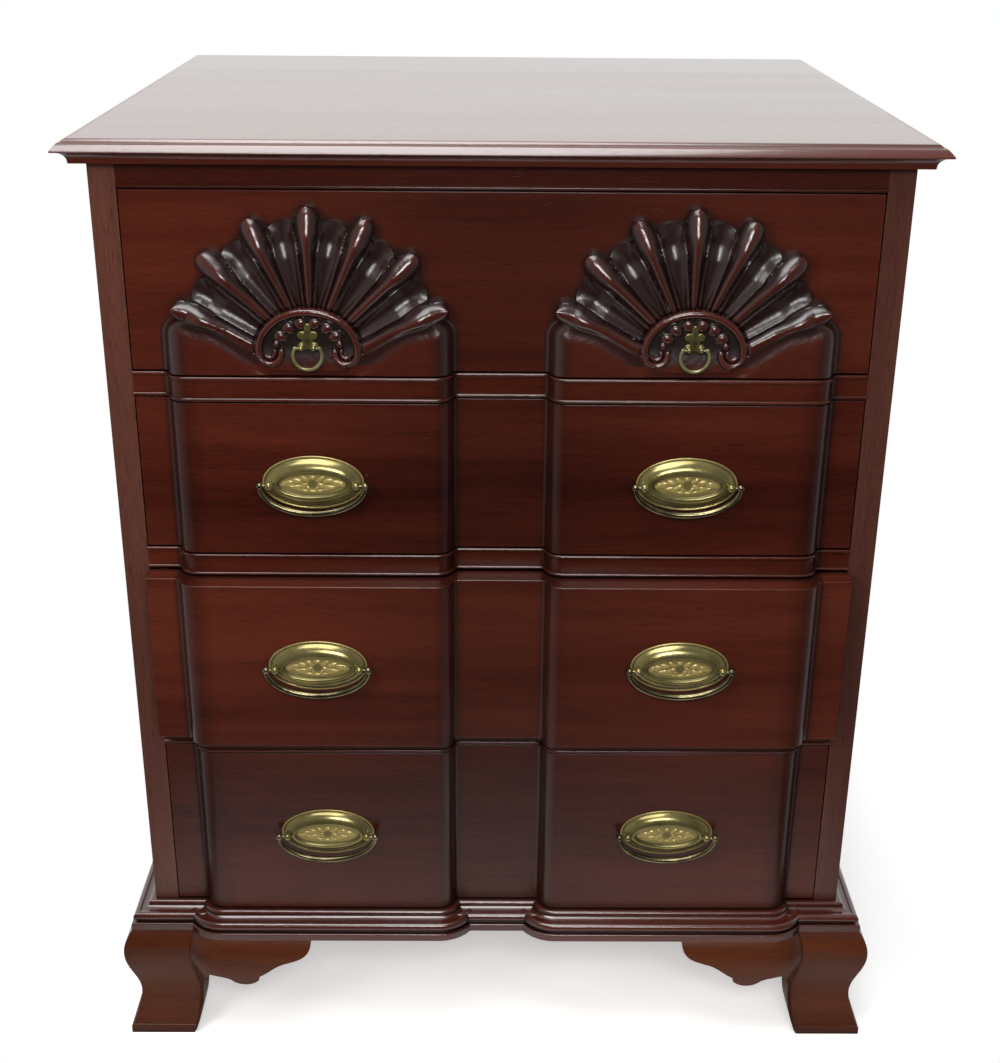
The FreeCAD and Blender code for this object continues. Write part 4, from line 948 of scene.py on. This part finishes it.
    def build(self, finishes: Finishes) -> bpy.types.Object:
        """Build the block, riding on the top drawer.

        Args:
            finishes: Finishes of the chest.

        Returns:
            The piece.
        """
        node = "shell_block_" + self.side.word
        low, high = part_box(node)
        centre_x = abs(low.x + high.x) / 2.0 / MM - self.block_shift
        centre_z = low.z / MM - self.foot_trim + self.centre_rise
        window = (-124.6, 128.6, -self.centre_rise, 120.0)
        mesh = Relief(node, window, self.cell, self.inside, self.height, self.sunk).mesh()
        mirror = Matrix.Diagonal((self.side.value, 1.0, 1.0, 1.0))
        place = Vector((self.side.value * centre_x * MM, high.y, centre_z * MM))
        mesh.transform(Matrix.Translation(place) @ mirror)
        if self.side is Side.LEFT:
            mesh.flip_normals()
        piece = as_object(node + "_carving", mesh, finishes.carved)
        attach(piece, "drawer_%d" % TOP_DRAWER)
        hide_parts(node)
        LOG.info("%s: %d faces", piece.name, len(mesh.polygons))
        return piece


# ---- brass of the pulls ----
def rings_mesh(name: str, rings: list[list[Point]]) -> bpy.types.Mesh:
    """Skin over a row of rings with as many points each, closed at both ends.

    Args:
        name: Name of the mesh.
        rings: Rings of points, in metres.

    Returns:
        The mesh.
    """
    count = len(rings[0])
    verts = [point for ring in rings for point in ring]
    faces = []
    for level in range(len(rings) - 1):
        for step in range(count):
            after = (step + 1) % count
            faces.append((level * count + step, level * count + after,
                          (level + 1) * count + after, (level + 1) * count + step))
    faces.append(tuple(range(count))[::-1])
    faces.append(tuple(range((len(rings) - 1) * count, len(rings) * count)))
    mesh = bpy.data.meshes.new(name)
    mesh.from_pydata(verts, [], faces)
    solid = bmesh.new()
    solid.from_mesh(mesh)
    bmesh.ops.recalc_face_normals(solid, faces=solid.faces)
    solid.to_mesh(mesh)
    solid.free()
    return mesh


def turned(name: str, profile: list[tuple[float, float]], foot: Vector, way: Vector,
           steps: int = 32) -> bpy.types.Mesh:
    """Turned piece, such as a post or a knob.

    Args:
        name: Name of the mesh.
        profile: Distance along the axis and radius, in millimetres.
        foot: Start of the axis, in metres.
        way: Direction of the axis.
        steps: Number of points round it.

    Returns:
        The mesh.
    """
    turn = way.to_track_quat("Z", "Y").to_matrix()
    rings = []
    for along, radius in profile:
        ring = []
        for step in range(steps):
            angle = 2.0 * math.pi * step / steps
            spot = Vector((radius * math.cos(angle), radius * math.sin(angle), along)) * MM
            ring.append(tuple(foot + turn @ spot))
        rings.append(ring)
    return rings_mesh(name, rings)


def joined(name: str, meshes: list[bpy.types.Mesh]) -> bpy.types.Mesh:
    """One mesh out of several."""
    solid = bmesh.new()
    for mesh in meshes:
        solid.from_mesh(mesh)
        bpy.data.meshes.remove(mesh)
    whole = bpy.data.meshes.new(name)
    solid.to_mesh(whole)
    solid.free()
    shade(whole)
    return whole


def ball_profile(centre: float, radius: float, start: float, steps: int = 10) -> list:
    """Profile of a ball on an axis, from a start angle to its far end."""
    points = []
    for step in range(steps + 1):
        angle = start + (math.pi - start) * step / steps
        points.append((centre - radius * math.cos(angle), max(radius * math.sin(angle), 0.02)))
    return points


@dataclass
class PullSizes:
    """Sizes that the two kinds of pull have in different amounts, in millimetres."""

    seat: float
    post_half: float
    post_radius: float
    head_radius: float
    pin_radius: float
    half_span: float
    drop: float
    knob_radius: float
    wire_end: float
    wire_middle: float


OVAL = PullSizes(16.0, 37.0, 3.2, 3.8, 1.6, 45.0, 25.2, 3.4, 2.1, 2.9)
SMALL = PullSizes(13.0, 5.2, 2.0, 2.3, 1.0, 10.2, 18.2, 1.9, 1.3, 1.5)


@dataclass
class Pull:
    """One pull of a drawer: posts with their bolts, and the bail."""

    drawer: int
    side: Side
    finishes: Finishes
    sizes: PullSizes = field(init=False)
    axis: Vector = field(init=False)
    plane_y: float = field(init=False)
    seat_y: float = field(init=False)
    bolt_tail: float = 6.0
    bolt_radius: float = 2.0
    nut_radius: float = 4.5
    nut_thickness: float = 3.5
    front_thickness: float = 20.0
    knob_ease: float = 0.06
    thread_pitch: float = 0.7
    wire_sides: int = 20
    bail_steps: int = 72

    def __post_init__(self) -> None:
        """Find the axis of the bail and the face that the plate sits on."""
        self.sizes = SMALL if self.drawer == TOP_DRAWER else OVAL
        low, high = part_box("drawer_%d_bail_%s" % (self.drawer, self.side.word))
        self.axis = Vector(((low.x + high.x) / 2.0, (low.y + high.y) / 2.0,
                            high.z - self.sizes.knob_radius * MM))
        self.plane_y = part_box("drawer_%d_front" % self.drawer)[1].y - self.front_thickness * MM
        self.seat_y = self.plane_y - self.sizes.seat * MM

    def name(self, part: str) -> str:
        """Name of one piece of the pull."""
        return "drawer_%d_%s_%s" % (self.drawer, self.side.word, part)

    def post(self, sign: int) -> list[bpy.types.Mesh]:
        """Post with a turned collar, its bolt and the nut inside the drawer.

        Args:
            sign: -1 for the left post of the pull and 1 for the right one.

        Returns:
            The meshes of the post, the bolt and the nut.
        """
        size = self.sizes
        seat = Vector((self.axis.x + sign * size.post_half * MM, self.seat_y, self.axis.z))
        reach = (self.seat_y - self.axis.y) / MM
        radius = size.post_radius
        neck = radius * 0.82
        stem = [(0.0, radius), (reach * 0.35, radius), (reach * 0.42, radius * 1.12), (reach * 0.5, neck)]
        start = math.asin(min(neck / size.head_radius, 1.0))
        stem += ball_profile(reach, size.head_radius - self.knob_ease, start)
        front = turned(self.name("post"), stem, seat, Vector((0.0, -1.0, 0.0)))
        span = size.seat + self.front_thickness + self.bolt_tail
        thread = [(0.0, self.bolt_radius), (size.seat + self.front_thickness, self.bolt_radius)]
        for turn in range(int(self.bolt_tail / self.thread_pitch)):
            along = size.seat + self.front_thickness + self.thread_pitch * turn
            thread += [(along + 0.2, self.bolt_radius * 0.86), (along + 0.55, self.bolt_radius)]
        thread.append((span, self.bolt_radius * 0.6))
        bolt = turned(self.name("bolt"), thread, seat, Vector((0.0, 1.0, 0.0)), 16)
        inside = Vector((seat.x, self.plane_y + self.front_thickness * MM, seat.z))
        flat = self.nut_radius
        nut_profile = [(0.0, flat * 0.9), (0.5, flat), (self.nut_thickness - 0.5, flat),
                       (self.nut_thickness, flat * 0.88)]
        nut = turned(self.name("nut"), nut_profile, inside, Vector((0.0, 1.0, 0.0)), 6)
        return [front, bolt, nut]

    def bail_path(self) -> list[tuple[Vector, float]]:
        """Middle line of the bail.

        Returns:
            Points in metres, each with its share of the way to the middle.
        """
        size = self.sizes
        points = []
        for step in range(self.bail_steps + 1):
            share = step / self.bail_steps
            if size.drop < size.half_span:
                angle = math.pi * (1.0 + share)
                spot = (size.half_span * math.cos(angle), size.drop * math.sin(angle))
            else:
                radius = (size.half_span**2 + size.drop**2) / (2.0 * size.drop)
                rise = size.drop - radius
                first = math.pi - math.asin(rise / radius)
                angle = first + (3.0 * math.pi - 2.0 * first) * share
                spot = (radius * math.cos(angle), -rise + radius * math.sin(angle))
            middle = 1.0 - abs(2.0 * share - 1.0)
            points.append((self.axis + Vector((spot[0], 0.0, spot[1])) * MM, middle))
        return points

    def bail(self) -> bpy.types.Object:
        """Build the bail: a tapered bar, two knobs and their pins.

        Returns:
            The piece.
        """
        size = self.sizes
        path = self.bail_path()
        rings = []
        for place, (spot, middle) in enumerate(path):
            before = path[max(place - 1, 0)][0]
            after = path[min(place + 1, len(path) - 1)][0]
            way = (after - before).normalized()
            side = Vector((0.0, 1.0, 0.0)).cross(way)
            swell = math.sin(0.5 * math.pi * middle) ** 0.7
            radius = size.wire_end + (size.wire_middle - size.wire_end) * swell
            ring = []
            for step in range(self.wire_sides):
                angle = 2.0 * math.pi * step / self.wire_sides
                across = side * math.cos(angle) + Vector((0.0, 1.0, 0.0)) * math.sin(angle)
                ring.append(tuple(spot + across * radius * MM))
            rings.append(ring)
        parts = [rings_mesh(self.name("bar"), rings)]
        for sign in (-1, 1):
            end = self.axis + Vector((sign * size.half_span, 0.0, 0.0)) * MM
            inward = Vector((-sign, 0.0, 0.0))
            knob = ball_profile(0.0, size.knob_radius - self.knob_ease, 0.05, 14)
            parts.append(turned(self.name("knob"), knob, end, inward, 24))
            length = size.half_span - size.post_half + size.head_radius * 0.8
            pin = [(0.0, size.pin_radius), (length - 0.3, size.pin_radius), (length, size.pin_radius * 0.7)]
            parts.append(turned(self.name("pin"), pin, end, inward, 16))
        node = "drawer_%d_bail_%s" % (self.drawer, self.side.word)
        finish = self.finishes.ring if self.drawer == TOP_DRAWER else self.finishes.bail
        piece = as_object(node + "_brass", joined(node + "_brass", parts), finish)
        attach(piece, node)
        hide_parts(node)
        return piece

    def posts(self) -> bpy.types.Object:
        """Build the two posts with their bolts and nuts.

        Returns:
            The piece.
        """
        parts = self.post(-1) + self.post(1)
        piece = as_object(self.name("posts"), joined(self.name("posts"), parts), self.finishes.plate)
        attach(piece, "drawer_%d" % self.drawer)
        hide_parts("drawer_%d_pull_posts" % self.drawer)
        return piece

    def place_plate(self, mesh: bpy.types.Mesh) -> bpy.types.Object:
        """Set a plate on its seat, riding on its drawer."""
        mesh.transform(Matrix.Translation(Vector((self.axis.x, self.seat_y, self.axis.z))))
        piece = as_object(self.name("plate"), mesh, self.finishes.plate)
        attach(piece, "drawer_%d" % self.drawer)
        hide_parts("drawer_%d_pull_plates" % self.drawer)
        return piece

    def build(self) -> None:
        """Build the plate, the posts and the bail."""
        pieces = [self.place_plate(self.plate()), self.posts(), self.bail()]
        for piece in pieces:
            LOG.info("%s: %d faces", piece.name, len(piece.data.polygons))

    def plate(self) -> bpy.types.Mesh:
        """Mesh of the plate about its own middle."""
        raise NotImplementedError


@dataclass
class OvalPull(Pull):
    """Oval pull with a domed border and an embossed panel, in millimetres."""

    half_width: float = 43.5
    half_height: float = 24.1
    border: tuple = ((0.0, 0.0), (0.0, 0.8), (0.25, 1.2), (0.8, 1.45), (1.4, 1.3), (1.8, 0.9), (2.2, 1.0),
                     (2.8, 1.8), (3.6, 2.9), (4.5, 3.9), (5.5, 4.8), (6.6, 5.6), (7.8, 6.3), (9.0, 6.9),
                     (10.2, 7.3), (11.3, 7.55), (12.1, 7.6), (12.7, 7.35), (13.1, 6.85), (13.5, 6.1),
                     (13.9, 5.65), (14.8, 5.5))
    leaves: tuple = ((0.0, 6.0, 0.0, 3.0, 1.8), (6.6, 4.6, 30.0, 4.2, 1.9), (8.0, -1.8, -35.0, 4.6, 2.0),
                     (13.2, 3.0, 10.0, 4.6, 2.2), (14.6, -2.6, -15.0, 4.6, 2.0), (20.0, 1.2, -5.0, 4.4, 2.4),
                     (24.6, -0.6, -25.0, 2.8, 1.8), (3.8, -4.0, 60.0, 3.2, 1.5))
    panel_rings: int = 26
    panel_height: float = 5.5
    steps: int = 168

    def emboss(self, x: Field, z: Field) -> Field:
        """Height of the leaf spray over the panel.

        Args:
            x: Distance across from the middle of the panel.
            z: Distance up from it.

        Returns:
            The height over the panel's ground.
        """
        wide = np.abs(x)
        height = np.zeros_like(x)
        for centre, lift, lean, long, thick in self.leaves:
            turn = math.radians(lean)
            along = (wide - centre) * math.cos(turn) + (z - lift) * math.sin(turn)
            aside = (z - lift) * math.cos(turn) - (wide - centre) * math.sin(turn)
            leaf = dome(np.hypot(along / long, aside / thick), 1.0)
            height = np.maximum(height, 1.2 * leaf - 0.3 * np.exp(-((aside / 0.4) ** 2)) * leaf)
        swag = z + 6.4 - 0.0125 * wide**2
        rope = dome(swag / 1.3, 1.0) * (wide < 25.0)
        return np.maximum(height, (0.95 + 0.2 * np.sin(wide * 2.2)) * rope)

    def plate(self) -> bpy.types.Mesh:
        """Mesh of the plate about its own middle.

        Returns:
            The mesh, with a "recess" value for the tarnish.
        """
        angles = np.linspace(0.0, 2.0 * math.pi, self.steps, endpoint=False)
        cos, sin = np.cos(angles), np.sin(angles)
        rings, depth, gilt = [], [], []
        for inset, rise in self.border:
            x, z = (self.half_width - inset) * cos, (self.half_height - inset) * sin
            rings.append(np.column_stack([x, np.full_like(x, -rise), z]) * MM)
            dark = 1.0 if 12.9 < inset < 14.5 or 1.6 < inset < 2.5 else 0.0
            depth.append(np.full_like(x, dark * 0.7))
            gilt.append(np.full_like(x, 0.5 if inset < 1.5 else 0.0))
        last = self.border[-1][0]
        for ring in range(1, self.panel_rings):
            share = 1.0 - ring / self.panel_rings
            x, z = (self.half_width - last) * share * cos, (self.half_height - last) * share * sin
            relief = self.emboss(x, z) * smooth_step(np.full_like(x, 1.0 - share), 0.0, 0.12)
            rings.append(np.column_stack([x, -self.panel_height - relief, z]) * MM)
            heart = dome(np.hypot(x / 4.2, (z - 0.5) / 3.6), 1.0)
            depth.append(np.clip(0.35 - relief * 0.5 + heart, 0.0, 0.75))
            gilt.append(np.full_like(x, 0.8))
        mesh = rings_mesh(self.name("plate"), [ring.tolist() for ring in rings])
        for name, values in (("recess", depth), ("gilt", gilt)):
            layer = mesh.attributes.new(name, "FLOAT", "POINT")
            layer.data.foreach_set("value", np.concatenate(values).astype(np.float32))
        shade(mesh, 60.0)
        return mesh


@dataclass
class SmallPull(Pull):
    """Small pull with a trefoil plate inside the arch of a shell, in millimetres."""

    thickness: float = 2.0
    discs: tuple = ((0.0, 17.0, 3.0), (-5.0, 9.5, 3.8), (5.0, 9.5, 3.8), (-5.2, 0.0, 3.9), (5.2, 0.0, 3.9),
                    (0.0, 12.6, 3.4), (0.0, 5.0, 4.8))

    def distance(self, x: Field, z: Field) -> Field:
        """Value that is positive inside the plate's outline."""
        inside = np.full_like(x, -99.0)
        for centre, lift, radius in self.discs:
            inside = soft_max(inside, radius - np.hypot(x - centre, z - lift), 1.2)
        bar = np.minimum(3.2 - np.abs(z), 5.2 - np.abs(x))
        stem = np.minimum(2.8 - np.abs(x), np.minimum(z + 2.0, 17.0 - z))
        return soft_max(inside, np.maximum(bar, stem), 0.8)

    def relief(self, x: Field, z: Field) -> Field:
        """Height of the plate, rounded towards its edge and swelling on its discs."""
        inside = np.clip(self.distance(x, z), 0.0, None)
        edge = 1.0 - (1.0 - np.clip(inside / 1.3, 0.0, 1.0)) ** 2
        return 0.7 + (self.thickness - 0.7) * edge

    def plate(self) -> bpy.types.Mesh:
        """Mesh of the plate about its own middle."""
        window = (-10.0, 10.0, -5.0, 22.0)
        return Relief(self.name("plate"), window, 0.3, self.distance, self.relief, self.sunk).mesh()

    def sunk(self, x: Field, z: Field, height: Field) -> Field:
        """Share of tarnish: most at the edge and where the discs meet."""
        middle = np.min([np.hypot(x - disc[0], z - disc[1]) / disc[2] for disc in self.discs[:5]], axis=0)
        return np.maximum((self.thickness - 0.1 - height) / 0.9, 0.9 * (middle - 0.45))


# ---- top board ----
@dataclass
class TopBoard:
    """Top with a moulded edge on three sides: places in and down from its corner, in millimetres."""

    edge: tuple = ((16.0, 0.0), (11.2, 0.0), (10.6, 0.12), (10.1, 0.42), (9.1, 1.38), (8.1, 2.35), (7.7, 2.6),
                   (7.3, 2.7), (6.9, 2.75), (6.2, 2.85), (5.4, 3.2), (4.4, 4.0), (3.2, 5.2), (2.1, 6.4),
                   (1.0, 7.7), (0.3, 8.6), (0.0, 9.1), (0.5, 9.9), (2.0, 10.2), (4.4, 10.5), (6.6, 11.3),
                   (8.5, 12.7), (10.0, 14.4), (10.9, 16.4), (11.2, 18.6), (11.4, 19.8))

    def build(self, finishes: Finishes) -> bpy.types.Object:
        """Build the board, riding on the case.

        Args:
            finishes: Finishes of the chest.

        Returns:
            The piece.
        """
        low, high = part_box("top_board")
        rings = []
        for inward, down in self.edge:
            left, right, front = low.x + inward * MM, high.x - inward * MM, low.y + inward * MM
            level = high.z - down * MM
            rings.append([(left, front, level), (right, front, level), (right, high.y, level),
                          (left, high.y, level)])
        mesh = rings_mesh("top_board_moulded", rings)
        shade(mesh)
        piece = as_object("top_board_moulded", mesh, finishes.top)
        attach(piece, "case")
        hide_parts("top_board")
        LOG.info("%s: %d faces", piece.name, len(mesh.polygons))
        return piece


# ---- nodes that keep their own shape ----
@dataclass
class Dressing:
    """Finishes of the nodes that stay as they are."""

    finishes: Finishes

    def table(self) -> dict[str, bpy.types.Material]:
        """Finish of each node.

        Returns:
            The material of every node that is carried over.
        """
        done = self.finishes
        table = {
            "top_rail": done.rail, "base_rail": done.rail,
            "case_bottom": done.inner_across, "back_panel": done.inner_across,
            "dust_panels": done.inner_across, "drawer_stops": done.inner_across,
            "drawer_runners": done.inner_deep, "top_kickers": done.inner_deep,
            "foot_glue_blocks": done.inner_upright, "case_screws": done.steel,
            "base_moulding_front": done.moulding,
        }
        for number in (1, 2, 3):
            table["divider_%d" % number] = done.divider
        for side in Side:
            table["case_side_" + side.word] = done.side
            table["front_stile_" + side.word] = done.upright
            table["base_moulding_" + side.word] = done.side_moulding
            table["front_foot_" + side.word] = done.foot
            table["rear_foot_" + side.word] = done.foot
        for drawer in DRAWERS:
            name = "drawer_%d_" % drawer
            table[name + "front"] = done.flat_front if drawer == TOP_DRAWER else done.front
            table[name + "sides"] = done.inner_deep
            table[name + "back"] = done.inner_across
            table[name + "bottom"] = done.inner_across
        return table

    def build(self) -> None:
        """Give every carried node its finish."""
        for name, material in self.table().items():
            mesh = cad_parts[name].data
            mesh.materials.clear()
            mesh.materials.append(material)
            LOG.info("%s: %s", name, material.name)


# ---- floor, light and camera ----
@dataclass
class Studio:
    """Pale floor, white surround, soft lamps and the camera, in metres."""

    eye: Point = (-0.01066, -1.25215, 1.065)
    pitch: float = 23.091
    yaw: float = 0.499
    roll: float = 0.487
    lens: float = 52.41
    floor_half: float = 3.0
    footprint: Point = (0.36, 0.31, 0.0)
    floor_stretch: Point = (5.0, 1.0, 0.0)
    floor_fade: tuple[float, float] = (0.08, 0.56)
    surround: float = 0.32
    mirror: tuple[float, float] = (0.03, 0.92)
    floor_glow: float = 0.45

    def camera(self) -> None:
        """Make the camera and set it as the scene's."""
        pitch, yaw, roll = (math.radians(value) for value in (self.pitch, self.yaw, self.roll))
        ahead = Vector((math.sin(yaw) * math.cos(pitch), math.cos(yaw) * math.cos(pitch), -math.sin(pitch)))
        right = Vector((math.cos(yaw), -math.sin(yaw), 0.0))
        up = right.cross(ahead)
        turned_right = right * math.cos(roll) + up * math.sin(roll)
        turned_up = up * math.cos(roll) - right * math.sin(roll)
        data = bpy.data.cameras.new("camera")
        data.lens = self.lens
        camera = bpy.data.objects.new("camera", data)
        bpy.context.scene.collection.objects.link(camera)
        turn = Matrix((turned_right, turned_up, -ahead)).transposed().to_4x4()
        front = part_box("front_stile_left")[0].y
        eye = Vector(self.eye) + Vector((0.0, front, 0.0))
        camera.matrix_world = Matrix.Translation(eye) @ turn
        bpy.context.scene.camera = camera

    def world(self) -> None:
        """White surround for the eye, dimmer as light, and dark in the mirror ahead of the chest."""
        world = bpy.data.worlds.new("surround")
        bpy.context.scene.world = world
        world.use_nodes = True
        tree = Tree.of(world.node_tree)
        background = world.node_tree.nodes["Background"]
        path = tree.add("LightPath")
        way = tree.add("SeparateXYZ", {0: tree.add("TexCoord").outputs["Generated"]})
        behind = tree.spread(way.outputs["Y"], -0.35, 0.25, 0.0, 1.0)
        above = tree.spread(way.outputs["Z"], 0.3, 0.95, 0.0, 0.3)
        window = tree.spread(way.outputs["X"], -0.95, -0.28, 0.5, 0.0)
        doorway = tree.spread(way.outputs["X"], 0.45, 0.95, 0.0, 0.25)
        sides = tree.math("MAXIMUM", window, doorway)
        pale = tree.math("MAXIMUM", tree.math("MAXIMUM", behind, above), sides)
        mirror = tree.spread(pale, 0.0, 1.0, *self.mirror)
        shiny = tree.math("MAXIMUM", path.outputs["Is Glossy Ray"], path.outputs["Is Transmission Ray"])
        lit = tree.math("ADD", tree.math("MULTIPLY", shiny, mirror),
                        tree.math("MULTIPLY", tree.math("SUBTRACT", 1.0, shiny), self.surround))
        seen = path.outputs["Is Camera Ray"]
        strength = tree.math("MAXIMUM", seen, lit)
        tree.links.new(strength, background.inputs["Strength"])
        background.inputs["Color"].default_value = (1.0, 1.0, 1.0, 1.0)

    def lamp(self, name: str, spot: Point, aim: Point, size: tuple[float, float], power: float,
             mirrored: bool = True, colour: Colour = (1.0, 1.0, 1.0)) -> None:
        """Add one soft lamp.

        Args:
            name: Name of the lamp.
            spot: Place, from the middle of the front at the floor.
            aim: Point that it faces, from the same origin.
            size: Width and height.
            power: Power in watts.
            mirrored: Whether polished surfaces show it.
            colour: Colour of its light.
        """
        data = bpy.data.lights.new(name, "AREA")
        data.shape = "RECTANGLE"
        data.size, data.size_y = size
        data.energy = power
        data.color = colour
        lamp = bpy.data.objects.new(name, data)
        lamp.visible_glossy = mirrored
        bpy.context.scene.collection.objects.link(lamp)
        front = Vector((0.0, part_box("front_stile_left")[0].y, 0.0))
        turn = (Vector(aim) - Vector(spot)).to_track_quat("-Z", "Y").to_matrix().to_4x4()
        lamp.matrix_world = Matrix.Translation(Vector(spot) + front) @ turn

    def floor(self) -> None:
        """Pale floor that fades into the white surround."""
        half = self.floor_half
        mesh = bpy.data.meshes.new("floor")
        corners = [(-half, -half, 0.0), (half, -half, 0.0), (half, half, 0.0), (-half, half, 0.0)]
        mesh.from_pydata(corners, [], [(0, 1, 2, 3)])
        material, tree, shader = new_material("pale_floor")
        place = tree.add("TexCoord").outputs["Object"]
        flat = tree.add("VectorMath", {0: place}, operation="ABSOLUTE").outputs[0]
        outside = tree.add("VectorMath", {0: flat, 1: self.footprint}, operation="SUBTRACT").outputs[0]
        clear_of = tree.add("VectorMath", {0: outside, 1: (0.0, 0.0, 0.0)}, operation="MAXIMUM").outputs[0]
        scaled = tree.add("VectorMath", {0: clear_of, 1: self.floor_stretch}, operation="MULTIPLY").outputs[0]
        far = tree.add("VectorMath", {0: scaled}, operation="LENGTH").outputs["Value"]
        shader.inputs["Roughness"].default_value = 0.9
        shader.inputs["Specular IOR Level"].default_value = 0.1
        grain = tree.add("TexNoise", {"Vector": place, "Scale": 90.0, "Detail": 3.0}).outputs[0]
        pale = tree.mix(grain, (0.86, 0.86, 0.855), (0.9, 0.9, 0.895))
        tree.links.new(pale, shader.inputs["Base Color"])
        seen = tree.add("LightPath").outputs["Is Camera Ray"]
        glow = tree.mix(seen, (0.0, 0.0, 0.0), (self.floor_glow,) * 3)
        tree.links.new(glow, shader.inputs["Emission Color"])
        shader.inputs["Emission Strength"].default_value = 1.0
        clear = tree.add("BsdfTransparent")
        fade = tree.add("MixShader", {0: tree.spread(far, *self.floor_fade, 0.0, 1.0), 1: shader.outputs[0],
                                      2: clear.outputs[0]})
        tree.links.new(fade.outputs[0], material.node_tree.nodes["Material Output"].inputs[0])
        floor = as_object("floor", mesh, material)
        floor.location.z = -0.0003

    def build(self) -> None:
        """Build the floor, the world, the lamps and the camera."""
        scene = bpy.context.scene
        scene.view_settings.view_transform = "Standard"
        self.camera()
        self.world()
        self.floor()
        self.lamp("left_lamp", (-0.75, -0.9, 1.15), (0.0, 0.0, 0.6), (0.5, 0.5), 8.0, False,
                  (1.0, 0.92, 0.82))
        self.lamp("right_lamp", (0.9, -1.4, 1.3), (0.0, 0.0, 0.4), (0.6, 0.5), 1.0, False)
        self.lamp("front_lamp", (0.08, -1.5, 1.45), (0.0, 0.0, 0.5), (0.65, 0.3), 12.0)
        self.lamp("ceiling_lamp", (-0.22, -0.42, 2.2), (0.0, 0.0, 0.6), (1.1, 1.1), 26.0)
        LOG.info("studio ready")


def corners(bounds: tuple) -> list[list[float]]:
    """Lowest and highest corner as plain lists."""
    return [[float(value) for value in corner] for corner in bounds]


def main() -> None:
    """Build the chest's looks piece by piece."""
    logging.basicConfig(level=logging.INFO, format="%(name)s %(message)s")
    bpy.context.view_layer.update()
    Studio().build()
    finishes = Finishes()
    Dressing(finishes).build()
    TopBoard().build(finishes)
    for side in Side:
        ShellBlock(side).build(finishes)
        for drawer in DRAWERS:
            kind = SmallPull if drawer == TOP_DRAWER else OvalPull
            kind(drawer, side, finishes).build()


if __name__ == "__main__":
    main()
